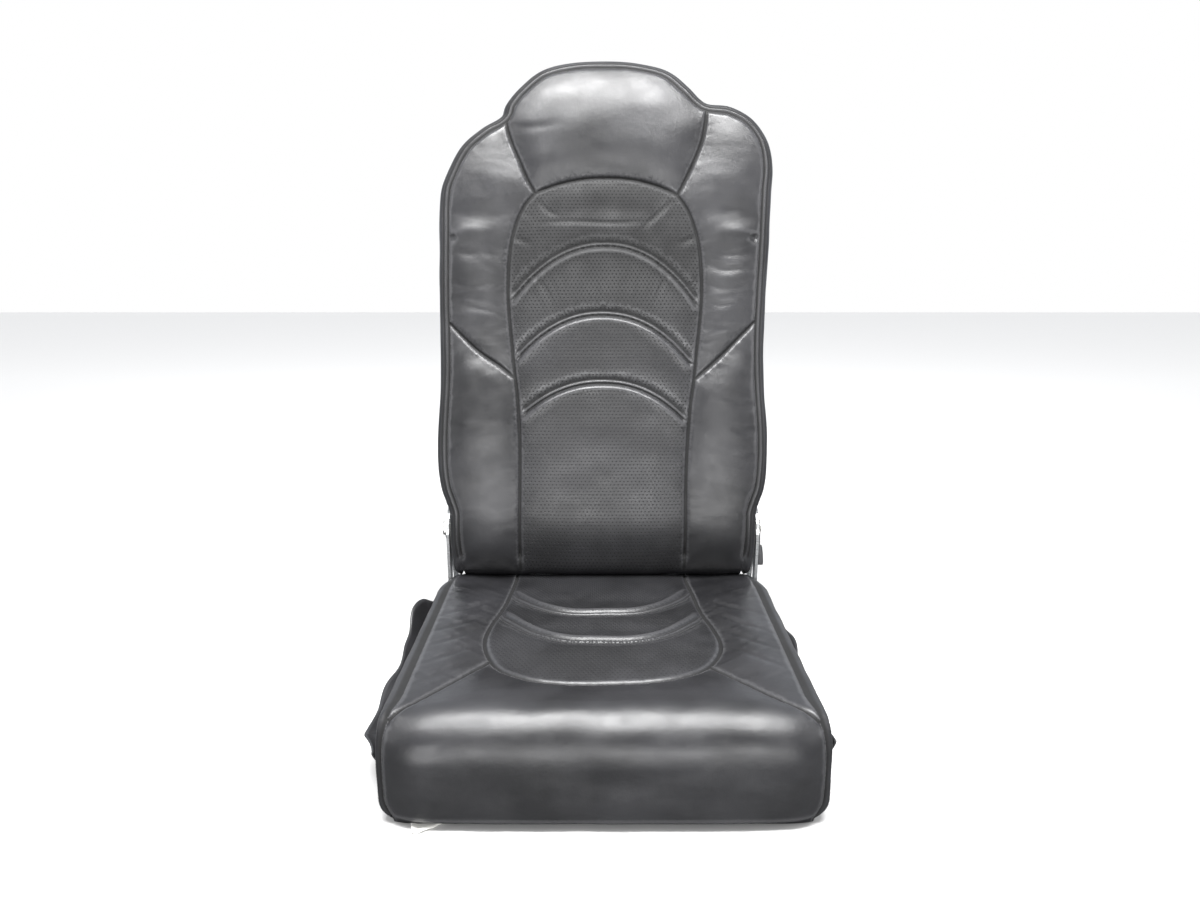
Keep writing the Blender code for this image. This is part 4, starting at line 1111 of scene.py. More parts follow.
@dataclass(frozen=True)
class PlasticFinish:
    """Moulded plastic with a pebbled grain."""

    colour: Colour
    pale: Colour
    roughness: tuple[float, float]
    grain: float = 1.4 * MM

    def build(self, name: str) -> bpy.types.Material:
        """Makes the material.

        Args:
            name: its name.

        Returns:
            The material.
        """
        nodes = Nodes(name)
        scuffs = nodes.span(nodes.marks((260.0, 260.0, 30.0), 5.0), (0.62, 0.8), (0.0, 0.5))
        nodes.set("Base Color", nodes.blend(scuffs, self.colour, self.pale))
        nodes.set("Roughness", nodes.span(nodes.noise(14.0, 5.0), (0.3, 0.7), self.roughness))
        nodes.bump(nodes.span(nodes.cells(1.0 / self.grain), (0.1, 0.7), (1.0, 0.0)), 0.12 * MM, 0.7)
        return nodes.material


@dataclass(frozen=True)
class WovenFinish:
    """A woven tape or cloth: crossing threads, with a painted highlight on their raised crossings and a tone that
    differs from thread to thread.
    """

    colour: Colour
    thread: Colour
    pitch: float
    depth: float = 0.25 * MM
    roughness: float = 0.78

    def build(self, name: str) -> bpy.types.Material:
        """Makes the material.

        Args:
            name: its name.

        Returns:
            The material.
        """
        nodes = Nodes(name)
        turns = {0: nodes.place, "Scale": 2.0 * math.pi / self.pitch}
        turned = nodes.add("ShaderNodeVectorMath", turns, operation="SCALE").outputs[0]
        x, y, z = nodes.add("ShaderNodeSeparateXYZ", {0: turned}).outputs
        warp = nodes.math("SINE", nodes.math("ADD", x, z))
        weft = nodes.math("SINE", nodes.math("SUBTRACT", y, z))
        weave = nodes.math("MULTIPLY", warp, weft)
        # painted highlight: the raised crossings of the weave are painted lighter
        lit = nodes.span(weave, (-1.0, 1.0), (0.2, 1.0))
        shade = nodes.math("MULTIPLY", lit, nodes.noise(220.0, 4.0))
        nodes.set("Base Color", nodes.blend(shade, self.colour, self.thread))
        nodes.set("Roughness", self.roughness)
        nodes.set("Sheen Weight", 0.25)
        nodes.set("Sheen Roughness", 0.5)
        nodes.bump(weave, self.depth, 0.7)
        return nodes.material


@dataclass(frozen=True)
class FoamFinish:
    """Cut upholstery foam with open cells, painted darker in the middle of each as the shade in its pore, and
    yellowed in patches.
    """

    colour: Colour = (0.62, 0.56, 0.38)
    aged: Colour = (0.52, 0.40, 0.20)
    deep: Colour = (0.22, 0.16, 0.08)
    cell: float = 1.6 * MM

    def build(self, name: str) -> bpy.types.Material:
        """Makes the material.

        Args:
            name: its name.

        Returns:
            The material.
        """
        nodes = Nodes(name)
        pores = nodes.cells(1.0 / self.cell)
        patch = nodes.span(nodes.noise(22.0, 5.0), (0.45, 0.7), (0.0, 0.8))
        tone = nodes.blend(patch, self.colour, self.aged)
        # painted shade: each cell's middle darkened as its open pore
        nodes.set("Base Color", nodes.blend(nodes.span(pores, (0.0, 0.45), (0.5, 0.0)), tone, self.deep))
        nodes.set("Roughness", 0.95)
        nodes.set("Subsurface Weight", 0.05)
        nodes.bump(nodes.span(pores, (0.0, 0.6), (0.0, 1.0)), 0.5 * MM, 0.9)
        return nodes.material


# Stitches


@dataclass(frozen=True)
class Stitching:
    """Rows of sewn thread, laid by one tree of geometry nodes."""

    pitch: float = 3.6 * MM
    length: float = 2.7 * MM
    thickness: float = 0.62 * MM

    def tree(self, material: bpy.types.Material) -> bpy.types.NodeTree:
        """Makes the tree that lays a stitch at each step of every row.

        Args:
            material: the finish of the thread.

        Returns:
            The tree, whose inputs are the pitch, the length and the thickness.
        """
        tree = bpy.data.node_groups.new("stitches", "GeometryNodeTree")
        tree.interface.new_socket("Rows", in_out="INPUT", socket_type="NodeSocketGeometry")
        for name in ("Pitch", "Length", "Thickness"):
            tree.interface.new_socket(name, in_out="INPUT", socket_type="NodeSocketFloat")
        tree.interface.new_socket("Stitches", in_out="OUTPUT", socket_type="NodeSocketGeometry")
        add = Tree(tree).add
        given = add("NodeGroupInput").outputs
        curve = add("GeometryNodeMeshToCurve", {"Mesh": given["Rows"]}).outputs["Curve"]
        points = add("GeometryNodeCurveToPoints", {"Curve": curve, "Length": given["Pitch"]}, mode="LENGTH")
        stitch = add("GeometryNodeMeshUVSphere", {"Segments": 6, "Rings": 5, "Radius": 0.5})
        thick = given["Thickness"]
        size = add("ShaderNodeCombineXYZ", {"X": thick, "Y": thick, "Z": given["Length"]})
        laid = add("GeometryNodeInstanceOnPoints", {
            "Points": points.outputs["Points"], "Rotation": points.outputs["Rotation"],
            "Scale": size.outputs["Vector"], "Instance": stitch.outputs["Mesh"],
        })
        real = add("GeometryNodeRealizeInstances", {"Geometry": laid.outputs["Instances"]})
        smooth = add("GeometryNodeSetShadeSmooth", {"Geometry": real.outputs["Geometry"]})
        finish = add("GeometryNodeSetMaterial", {"Geometry": smooth.outputs["Geometry"], "Material": material})
        add("NodeGroupOutput", {"Stitches": finish.outputs["Geometry"]})
        return tree

    def sew(
        self, name: str, rows: Sequence[Line], material: bpy.types.Material, body: str,
    ) -> bpy.types.Object:
        """Makes the stitches of one body as one plain mesh.

        Args:
            name: the name of the piece.
            rows: the rows of thread, as points in the world.
            material: the finish of the thread.
            body: the body that it rides on.

        Returns:
            The piece.
        """
        mesh = bpy.data.meshes.new(name + "_rows")
        starts = np.concatenate([[0], np.cumsum([len(row) for row in rows])])
        edges = [(int(a) + k, int(a) + k + 1) for a, row in zip(starts, rows) for k in range(len(row) - 1)]
        mesh.from_pydata(np.vstack(rows).tolist(), edges, [])
        source = bpy.data.objects.new(name + "_rows", mesh)
        bpy.context.collection.objects.link(source)
        tree = self.tree(material)
        modifier = source.modifiers.new("stitches", "NODES")
        modifier.node_group = tree
        values = {"Pitch": self.pitch, "Length": self.length, "Thickness": self.thickness}
        for item in tree.interface.items_tree:
            if item.name in values:
                modifier[item.identifier] = values[item.name]
        graph = bpy.context.evaluated_depsgraph_get()
        sewn = bpy.data.meshes.new_from_object(source.evaluated_get(graph))
        source.modifiers.remove(modifier)
        bpy.data.objects.remove(source)
        sewn.name = name
        if not sewn.materials:
            sewn.materials.append(material)
        piece = bpy.data.objects.new(name, sewn)
        bpy.context.collection.objects.link(piece)
        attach(piece, body)
        LOG.info("%s: %d rows, %d faces", name, len(rows), len(sewn.polygons))
        return piece


# The leather of the back


@dataclass
class BackLeather:
    """The one cover of the back and its headrest.

    Its own space is x, depth to the rear and height above the pivot, with the back upright.
    """

    pivot: tuple[float, float, float] = (0.0, 0.262, 0.190)
    lean: float = math.radians(12.0)
    roll: float = 0.064
    roll_start: float = 0.036
    half_width: float = 0.240
    height: float = 0.689
    waist: float = 0.2235
    corner: float = 0.010
    foot: float = 0.056
    edge_round: float = 0.020
    welt_inset: float = 0.012
    rear: float = 0.046
    rear_round: float = 0.012
    side_hole: float = 0.0345
    step: float = 3.0 * MM
    TUCK = (-0.036, -0.052)  # the heights between which the foot goes out of sight under the roll

    SHAPE = (
        (-0.954, 0.061), (-0.984, 0.092), (-1.002, 0.145), (-1.002, 0.218), (-0.987, 0.319), (-0.987, 0.406),
        (-0.994, 0.494), (-0.994, 0.610), (-0.990, 0.706), (-0.958, 0.754), (-0.866, 0.816), (-0.740, 0.856),
        (-0.618, 0.882), (-0.585, 0.910), (-0.500, 0.945), (-0.372, 0.980), (-0.190, 0.996), (0.012, 1.000),
        (0.210, 0.996), (0.390, 0.980), (0.520, 0.945), (0.592, 0.920), (0.650, 0.908), (0.780, 0.902),
        (0.915, 0.877), (1.006, 0.832), (1.036, 0.775), (1.026, 0.715), (1.012, 0.610), (0.992, 0.494),
        (0.980, 0.406), (0.982, 0.319), (1.000, 0.218), (1.000, 0.145), (0.984, 0.092), (0.954, 0.061),
    )
    HEAD_LEFT = ((-146, 617), (-142, 602), (-140, 590), (-133, 567), (-122, 541), (-111, 515), (-99, 493))
    HEAD_RIGHT = ((153, 621), (151, 606), (149, 590), (144, 567), (134, 541), (122, 515), (109, 490))
    INNER_LEFT = (
        (-99, 493), (-115, 473), (-127, 446), (-135, 410), (-138, 366), (-137, 323), (-133, 279), (-129, 235),
        (-124, 191), (-121, 133), (-121, 60), (-122, -15), (-122, -70),
    )
    INNER_RIGHT = (
        (109, 490), (124, 468), (134, 442), (141, 410), (144, 366), (143, 323), (137, 264), (133, 221),
        (127, 177), (123, 120), (121, 60), (121, -15), (121, -70),
    )
    ARCS = (
        ((-99, 493), (109, 490), 515), ((-136, 341), (141, 334), 420), ((-131, 253), (130, 250), 320),
        ((-122, 172), (121, 168), 221),
    )
    CUT_LEFT = ((-228, 308), (-206, 286), (-179, 261), (-150, 241), (-129, 224))
    CUT_RIGHT = ((229, 311), (217, 301), (192, 276), (163, 247), (133, 221))
    CREASES = creases(
        (1.7, 3.5, (-98, 449), (-40, 451), (20, 449), (72, 452)),
        (1.5, 3.5, (104, 484), (80, 462), (52, 436)),
        (1.2, 3.5, (-94, 482), (-78, 466), (-60, 458)),
        (2.6, 16.0, (-90, 462), (0, 470), (95, 462)),
        (1.6, 5.0, (-136, 428), (-118, 424), (-104, 417)),
        (1.6, 5.0, (140, 428), (122, 424), (108, 416)),
        (2.0, 15.0, (-240, 452), (-205, 460), (-165, 462), (-126, 468)),
        (-1.0, 7.0, (-226, 434), (-198, 438), (-168, 436)),
        (3.2, 4.5, (-226, 431), (-220, 428), (-213, 430)),
        (2.0, 15.0, (244, 452), (205, 462), (170, 464), (130, 470)),
        (-1.0, 7.0, (226, 434), (198, 438), (172, 436)),
        (3.2, 4.5, (227, 431), (221, 427), (214, 429)),
        (0.9, 6.0, (-218, 412), (-196, 404), (-176, 406)),
        (0.9, 6.0, (220, 410), (198, 402), (170, 404)),
        (1.2, 6.0, (-222, 362), (-190, 356), (-160, 362)),
        (1.2, 5.0, (156, 388), (174, 380), (206, 384)),
        (1.3, 5.5, (152, 362), (176, 352), (212, 358)),
        (1.0, 5.0, (150, 338), (172, 330), (198, 334)),
        (1.0, 6.0, (-216, 334), (-186, 326), (-150, 318)),
        (0.9, 6.0, (-140, 592), (-104, 586), (-62, 590)),
        (1.0, 6.0, (232, 190), (212, 182), (186, 186)),
        (0.9, 6.0, (230, 150), (206, 146), (184, 152)),
        (0.9, 7.0, (228, 112), (204, 104), (176, 108)),
        (0.7, 7.0, (-228, 160), (-200, 150), (-170, 156)),
        (0.9, 4.0, (-102, 372), (-82, 352), (-72, 330)),
        (0.9, 4.0, (98, 378), (84, 356), (76, 334)),
        (0.6, 3.5, (-50, 404), (-44, 384), (-42, 362)),
        (0.6, 3.5, (46, 404), (40, 384), (38, 360)),
    )

    def outer(self) -> Line:
        """Draws the leather from the front.

        Returns:
            Its closed outline, clockwise from the middle of its foot.
        """
        turn = np.linspace(math.pi / 2.0, 0.0, 9)
        across = self.waist - self.corner * (1.0 - np.cos(turn))
        corner = np.column_stack([across, -self.roll * np.sin(turn)])
        side = np.array([[self.waist, 0.0256]])
        mirror = np.array([-1.0, 1.0])
        shape = spline(np.array(self.SHAPE) * (self.half_width, self.height), self.step)
        foot = [[0.0, -self.roll]]
        parts = [foot, corner * mirror, side * mirror, shape, side, corner[::-1], foot]
        return resample(np.vstack(parts), self.step)[:-1]

    def front_edge(self, outer: Line) -> Line:
        """Draws the front in its flat plan.

        Args:
            outer: the closed outline of the leather.

        Returns:
            The outline of the front: the outer seam, and the foot low on the roll.
        """
        inward = self.inward(outer) * self.welt_inset
        z = np.where(outer[:, 1] < 0.0, outer[:, 1] * self.foot / self.roll, outer[:, 1] + inward[:, 1])
        return np.column_stack([outer[:, 0] + inward[:, 0], z])

    @staticmethod
    def inward(outer: Line) -> Line:
        """Unit normals of the outline, towards its inside."""
        inward = -side_normals(outer, closed=True)
        return -inward if (inward[:, 1] * outer[:, 1]).sum() > 0.0 else inward

    def columns(self, outer: Line, starts: Line) -> np.ndarray:
        """The places of the boxing by row and column.

        Args:
            outer: the closed outline of the leather.
            starts: the places of the outline of the front.

        Returns:
            The places, with the front's own in the first row.
        """
        inward, rows = self.inward(outer), self.boxing_rows()
        first = rows[0][0]
        low = outer[:, 1] < self.roll_start

        def curled(depth: np.ndarray) -> np.ndarray:
            """The height of each column's point at its depth, round the roll or straight back."""
            share = np.sqrt(np.maximum(self.roll ** 2 - depth ** 2, 0.0)) / self.roll
            return np.where(low, self.roll_start + (outer[:, 1] - self.roll_start) * share, outer[:, 1])

        places = []
        for row_depth, inset in rows:
            part = (row_depth - first) / (self.rear - first)
            depth = starts[:, 1] + (self.rear - starts[:, 1]) * part
            offset = np.where(low, starts[:, 2] - curled(starts[:, 1]), 0.0) * (1.0 - part) ** 2
            z = curled(depth) + offset + np.where(low, 0.0, inward[:, 1] * inset)
            places.append(np.column_stack([outer[:, 0] + inward[:, 0] * inset, depth, z]))
        return np.array([starts, *places[1:]])

    def seams(self, side: Line) -> list[Seam]:
        """Lays out the seams in the flat plan.

        Args:
            side: the line of the outer seam.

        Returns:
            The seams, with the outer one first and those that others end on before them.
        """
        step = self.step * SEAM_STEP
        inner = [spline(metres(points), step) for points in (self.INNER_LEFT, self.INNER_RIGHT)]
        head = [spline(metres(points), step) for points in (self.HEAD_LEFT, self.HEAD_RIGHT)]
        cuts = [spline(metres(points), step) for points in (self.CUT_LEFT, self.CUT_RIGHT)]
        arcs = [arch(metres(left), metres(right), crown * MM, 2.2, step) for left, right, crown in self.ARCS]
        return [
            Seam(side, SeamKind.WELT, (-3.4,)), *(Seam(line, gather=0.9 * MM) for line in inner),
            *(Seam(line) for line in head), Seam(arcs[0], gather=0.5 * MM),
            *(Seam(line, SeamKind.FOLD, (-9.5,), 0.9 * MM) for line in arcs[1:]),
            Seam(cuts[0], stitched=(-3.2,)), Seam(cuts[1], stitched=(3.2,)),
        ]

    def panels(self, flat: Line) -> np.ndarray:
        """Sorts flat points by panel.

        Args:
            flat: the points.

        Returns:
            The number of the panel that each one is in.
        """
        left, right, crown = self.ARCS[0]
        arc = arch(metres(left), metres(right), crown * MM, 2.2, 2 * MM)
        inner_left, inner_right = metres(self.INNER_LEFT), metres(self.INNER_RIGHT)
        high, foot = self.height + 0.05, -0.10
        above = [[0.20, high], [-0.20, high]]
        head = np.vstack([metres(self.HEAD_LEFT), arc, metres(self.HEAD_RIGHT)[::-1], above])
        ends = [[inner_right[-1, 0], foot], [inner_left[-1, 0], foot]]
        centre = np.vstack([arc, inner_right, ends, inner_left[::-1]])
        line = metres([*self.CUT_LEFT, *self.CUT_RIGHT[::-1]])
        diagonal = np.interp(flat[:, 0], line[:, 0], line[:, 1])
        result = np.where(flat[:, 1] > diagonal, Panel.WING.value, Panel.BOLSTER.value)
        result[inside(flat, centre)] = Panel.BAND.value
        result[inside(flat, head)] = Panel.HEAD.value
        return result

    def place(self, side: Line) -> Callable[[Line], Line]:
        """Gives the function that puts flat points on the padded block.

        Args:
            side: the line of the outer seam.

        Returns:
            The function.
        """

        def placed(flat: Line) -> Line:
            """The places of flat points: a rounded edge at the outer seam, and a roll at the foot."""
            inset = np.minimum(self.welt_inset + nearest(flat, side)[0], self.edge_round)
            bulge = np.sqrt(np.maximum(self.edge_round ** 2 - (self.edge_round - inset) ** 2, 0.0))
            low = np.minimum(flat[:, 1] - self.roll_start, 0.0) / (self.roll + self.roll_start)
            below = np.sqrt(np.clip(1.0 - low ** 2, 0.0, 1.0))
            depth = (self.roll - self.edge_round + bulge) * below
            return np.column_stack([flat[:, 0], -depth, flat[:, 1]])

        return placed

    def boxing_rows(self) -> list[tuple[float, float]]:
        """Lays out the rows of the boxing.

        Returns:
            The depth and the inset of each row, from the outer seam to the lip at the rear.
        """
        start = math.acos(1.0 - self.welt_inset / self.edge_round)
        front, rear = self.roll - self.edge_round, self.rear - self.rear_round
        steps = np.array([0.0, 0.08, 0.17, 0.25, 0.32, 0.38, 0.45, 0.60, 0.76])
        rows = []
        for turn in (*(start - steps).tolist(), 0.0):
            inset = self.edge_round * (1.0 - math.cos(turn))
            rows.append((-front - self.edge_round * math.sin(turn), inset))
        rows += [(depth, 0.0) for depth in np.linspace(-front, rear, 20)[1:].tolist()]
        for turn in np.linspace(0.0, math.pi / 2.0, 6)[1:].tolist():
            rows.append((rear + self.rear_round * math.sin(turn), self.rear_round * (1.0 - math.cos(turn))))
        return rows + [(self.rear, 0.016), (self.rear, self.edge_round)]

    def heights(self, cover: Cover) -> np.ndarray:
        """Stuffs the front, works its seams, wrinkles and creases, and paints shade into its grooves, folds and
        upper bands.

        Args:
            cover: the cover, with its front cut.

        Returns:
            How far each point of the front stands out from the block.
        """
        flat = cover.flat[:cover.front_count]
        x, z = flat.T
        panel = self.panels(flat)
        in_band = panel == Panel.BAND.value
        near = nearest_of(flat, [seam.line for seam in cover.seams if seam.kind is not SeamKind.FOLD])
        height = stuffed_height(panel, near + UNSEWN * smoothstep(*self.TUCK, z))
        height *= 1.0 - 0.4 * smoothstep(0.15, 0.05, z) * (panel == Panel.BOLSTER.value)
        corner = np.exp(-((np.abs(x) - 0.203) / 0.022) ** 2) * smoothstep(-0.025, -0.052, z)
        height += 4.0 * MM * corner
        groove = groove_depth(near) * (1.0 - 0.8 * smoothstep(-0.04, -0.054, z))
        height = cover.relax(height, near < HELD, EVENING) - groove
        # painted shade in the seams' grooves, and the bands painted darker towards the top of the back
        cover.painted_shade = np.maximum(seam_shade(near), 0.62 * smoothstep(0.18, 0.43, z) * in_band)
        cover.pricked = smoothstep(4.0 * MM, 5.5 * MM, near)
        height += self.wrinkles(flat, panel) * smoothstep(0.0, 9.0 * MM, near)
        fade = smoothstep(0.0, FADE, near) * (in_band | (panel == Panel.HEAD.value))
        return cover.creased(cover.gathered(height, fade, 5), near, self.CREASES)

    @staticmethod
    def wrinkles(flat: Line, panel: np.ndarray) -> np.ndarray:
        """Wrinkles the leather, each panel in its own way.

        Args:
            flat: the points of the front.
            panel: the panel of each.

        Returns:
            The height of each point.
        """
        x, z = flat.T
        out = np.abs(x)
        soft = 1.0 * MM * ripple(x / 0.060, z / 0.045, 1)
        wing = 0.62 * MM * wrinkled(x + 0.15 * z, z - 0.10 * out, 0.055, 0.013, 2)
        wing *= 0.25 + 0.75 * smoothstep(0.50, 0.38, z)
        pull = np.exp(-np.maximum(out - 0.13, 0.0) / 0.040) * smoothstep(0.44, 0.34, z)
        wing += 0.48 * MM * pull * wrinkled(x, z + 0.12 * out, 0.060, 0.0105, 21)
        angle = np.arctan2(x, z - 0.20)
        at_sides = 0.25 + 0.75 * smoothstep(0.015, 0.060, out)
        fan = 0.55 * MM * wrinkled(z, angle, 0.090, 0.075, 3) * smoothstep(0.27, 0.34, z) * at_sides
        slack = 0.42 * MM * wrinkled(x, z + 0.25 * out, 0.070, 0.017, 4) * smoothstep(-0.02, 0.03, z)
        kinds = [panel == kind.value for kind in (Panel.WING, Panel.BAND, Panel.BOLSTER)]
        return soft + np.select(kinds, [wing, fan, slack], 0.0)

    def world(self, points: Line) -> Line:
        """Takes the back to its place at rest.

        Args:
            points: points of the back.

        Returns:
            The same points in the world.
        """
        turn_cos, turn_sin = math.cos(self.lean), math.sin(self.lean)
        x, y, z = np.asarray(points).T
        return np.column_stack([
            x, self.pivot[1] + y * turn_cos + z * turn_sin, self.pivot[2] - y * turn_sin + z * turn_cos,
        ])

    def open_side_holes(self, cover: Cover) -> None:
        """Opens the boxing round the pivot on both sides, with its edge drawn to a circle.

        Args:
            cover: the cover.
        """
        x, y, z = cover.points.T
        reach = np.hypot(y, z)
        on_side = np.abs(x) > self.waist - 0.02
        keep = [
            k for k, face in enumerate(cover.faces)
            if not (on_side[list(face)].all() and reach[list(face)].mean() < self.side_hole)
        ]
        cover.faces = [cover.faces[k] for k in keep]
        cover.leathers = [cover.leathers[k] for k in keep]
        in_boxing = np.arange(len(x)) >= cover.front_count
        edge = on_side & (np.abs(reach - self.side_hole) < 3.5 * MM) & in_boxing
        cover.points[edge, 1:] *= (self.side_hole / reach[edge])[:, None]

    def build(self, materials: Sequence[bpy.types.Material], thread: bpy.types.Material) -> None:
        """Makes the leather and its stitches.

        Args:
            materials: the leathers, plain and perforated.
            thread: the finish of the thread.
        """
        outer, rows = self.outer(), self.boxing_rows()
        outline = self.front_edge(outer)
        high = outer[:, 1] > -self.roll * 0.7
        side = outline[high]
        cover = Cover(outline, self.seams(side), self.step)
        cover.cut_front(self.place(side))
        columns = self.columns(outer, self.place(side)(outline))
        arc = np.arange(len(outer)) * self.step
        flat = np.array([np.column_stack([arc, np.full(len(arc), -1.0 - depth)]) for depth, _ in rows])
        cover.add_boxing(columns, flat, closed=True)
        front = self.heights(cover)
        edge = front[cover.grid[0]]
        at_side = np.exp(-nearest(outline, side)[0] / (8.0 * MM))
        unseen = np.zeros(len(cover.points) - cover.front_count)
        height, cover.painted_shade = np.concatenate([front, unseen]), np.concatenate([cover.painted_shade, unseen])
        for number in range(1, len(rows)):
            far = np.linalg.norm(columns[number] - columns[0], axis=1)
            second = np.exp(-((far - 7.0 * MM) / (1.4 * MM)) ** 2)
            # painted shade along the outer seam and along the boxing's second seam, 7 mm behind it
            cover.painted_shade[cover.grid[number]] = np.maximum(seam_shade(far), 0.9 * second) * at_side
            own = PADS[Panel.BOXING].height_at(far) - groove_depth(far) - 1.2 * MM * second
            own += 0.7 * MM * ripple(arc / 0.05, far / 0.03, 8) * smoothstep(0.0, 0.01, far)
            share = 1.0 - smoothstep(0.01, self.rear, columns[number][:, 1])
            lip = 1.0 - smoothstep(self.rear - 0.012, self.rear, np.full(len(far), rows[number][0]))
            height[cover.grid[number]] = (own * at_side + edge * (1.0 - at_side) * share) * lip
        cover.fill_out(height, (-0.17, -0.01, 0.0), (0.17, -0.01, 0.60))
        cover.choose_leathers(self.panels, foot=-0.070)
        self.open_side_holes(cover)
        piece = cover.build("back_leather", self.world, materials)
        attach(piece, "backrest")
        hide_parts("back_cover", "back_foam", "headrest_foam")
        LOG.info("%s: %d faces", piece.name, len(cover.faces))
        stitches = [*cover.stitch_rows(), cover.points[cover.grid[2][high]]]
        Stitching().sew("back_stitches", [self.world(row) for row in stitches], thread, "backrest")


# The leather of the cushion


@dataclass
class CushionLeather:
    """The cover of the cushion: its top and front in one, and a boxing round the sides and the rear.

    The flat plan is x across, and y along the top, carried on down the front face.
    """

    half_width: float = 0.2415
    welt_top: float = 0.2255
    welt_front: float = 0.2370
    welt_foot: float = 0.226
    top: float = 0.1225
    rear: float = 0.2455
    rear_radius: float = 0.062
    rear_width: float = 0.036
    overhang: float = 0.016
    rear_overhang: float = 0.009
    front_start: float = -0.182
    front_round: tuple[float, float] = (0.038, 0.047)
    hem: float = 0.0022
    corner: float = 0.056
    corner_depth: float = 0.026
    roll_axis: tuple[float, float, float] = (0.0, 0.262, 0.190)
    roll_radius: float = 0.0712
    step: float = 3.0 * MM

    INSERT = (
        (-127, 234), (-131, 162), (-136, 103), (-146, 43), (-149, -9), (-141, -51), (-125, -88), (-102, -109),
        (-66, -125), (-3, -130), (65, -122), (101, -106), (124, -85), (141, -51), (147, -15), (142, 33),
        (132, 92), (128, 154), (121, 234),
    )
    ARCS = (((-133, 154), (128, 162), 67, 2.9), ((-143, 81), (146, 96), -24, 2.8))
    CUT_LEFT = ((-136, -70), (-160, -106), (-183, -140), (-205, -171), (-222, -193), (-229, -203))
    CUT_RIGHT = ((122, -79), (157, -122), (185, -157), (211, -185), (223, -197), (230, -206))
    FOOT = (
        (0.056, 0.0001), (0.046, 0.0003), (0.036, 0.0006), (0.026, 0.0010), (0.018, 0.0016), (0.012, 0.0024),
        (0.008, 0.0034), (0.005, 0.0046), (0.0022, 0.0062),
    )
    CREASES = creases(
        (0.5, 5.0, (-212, -226), (-190, -236), (-160, -222)),
        (1.2, 12.0, (-30, -262), (20, -268), (60, -258)),
        (1.0, 12.0, (40, -285), (85, -278), (120, -286)),
        (0.9, 12.0, (-150, -262), (-120, -272), (-90, -268)),
        (1.3, 6.0, (-156, 120), (-186, 90), (-216, 74)),
        (1.4, 6.0, (-160, 70), (-188, 36), (-218, 20)),
        (1.4, 6.0, (-164, 24), (-190, -10), (-218, -28)),
        (1.3, 6.0, (-160, -22), (-184, -56), (-216, -80)),
        (1.0, 6.0, (-154, -62), (-182, -100), (-214, -130)),
        (1.3, 6.0, (146, 120), (180, 92), (214, 80)),
        (1.4, 6.0, (156, 70), (186, 36), (216, 16)),
        (1.4, 6.0, (160, 20), (188, -16), (216, -36)),
        (1.3, 6.0, (158, -30), (186, -64), (214, -90)),
        (1.2, 16.0, (-110, 120), (0, 112), (105, 122)),
        (1.2, 16.0, (-120, 20), (0, 10), (120, 22)),
    )

    def profile(self) -> tuple[np.ndarray, np.ndarray, np.ndarray]:
        """Draws the cover from the side.

        Returns:
            The flat coordinate, y and z, from the rear of the top to the front hem.
        """
        turn = np.linspace(0.0, math.pi / 2.0, 60)[1:]
        deep, high = self.front_round
        low = self.top - high
        ys = [self.rear + 0.05, self.front_start, *(self.front_start - deep * np.sin(turn)).tolist()]
        zs = [self.top, self.top, *(low + high * np.cos(turn)).tolist()]
        for z, back in self.FOOT:
            ys.append(self.front_start - deep + back)
            zs.append(z)
        ys, zs = np.array(ys), np.array(zs)
        along = np.concatenate([[0.0], np.cumsum(np.hypot(np.diff(ys), np.diff(zs)))])
        return self.rear + 0.05 - along, ys, zs

    def half_width_at(self, v: np.ndarray) -> np.ndarray:
        """Measures the top and front across.

        Args:
            v: the flat coordinate.

        Returns:
            Half their width there.
        """
        end = self.profile()[0][-1]
        wide = self.welt_top + (self.welt_front - self.welt_top) * smoothstep(-0.15, -0.235, v)
        return wide - (self.welt_front - self.welt_foot) * smoothstep(end + 0.036, end, v) ** 2

    def outline(self) -> Line:
        """Draws the top and front in their flat plan.

        Returns:
            The outline from the front left foot round the rear to the front right foot.
        """
        end = self.profile()[0][-1]
        v = np.linspace(end, self.rear - self.rear_radius, 200)
        left = np.column_stack([-self.half_width_at(v), v])
        turn = np.linspace(math.pi, math.pi / 2.0, 20)[1:]
        x = self.rear_width - self.welt_top + self.rear_width * np.cos(turn)
        arc = np.column_stack([x, self.rear - self.rear_radius + self.rear_radius * np.sin(turn)])
        half = np.vstack([left, arc, [[0.0, self.rear]]])
        full = np.vstack([half, half[-2::-1] * (-1.0, 1.0)])
        return resample(full, self.step)

    def place(self, flat: Line) -> Line:
        """Puts flat points on the padded block.

        Args:
            flat: the points.

        Returns:
            Their places, with the corners of the front set back.
        """
        x, v = flat.T
        along, ys, zs = self.profile()
        order = np.argsort(along)
        y = np.interp(v, along[order], ys[order])
        z = np.interp(v, along[order], zs[order])
        forward = np.clip((self.front_start - y) / self.front_round[0], 0.0, 1.0)
        over = np.clip(np.abs(x) / self.corner - self.half_width / self.corner + 1.0, 0.0, 0.98)
        setback = self.corner_depth * (1.0 - (1.0 - over ** 2.6) ** (1.0 / 2.6))
        return np.column_stack([x, y + setback * forward, z])

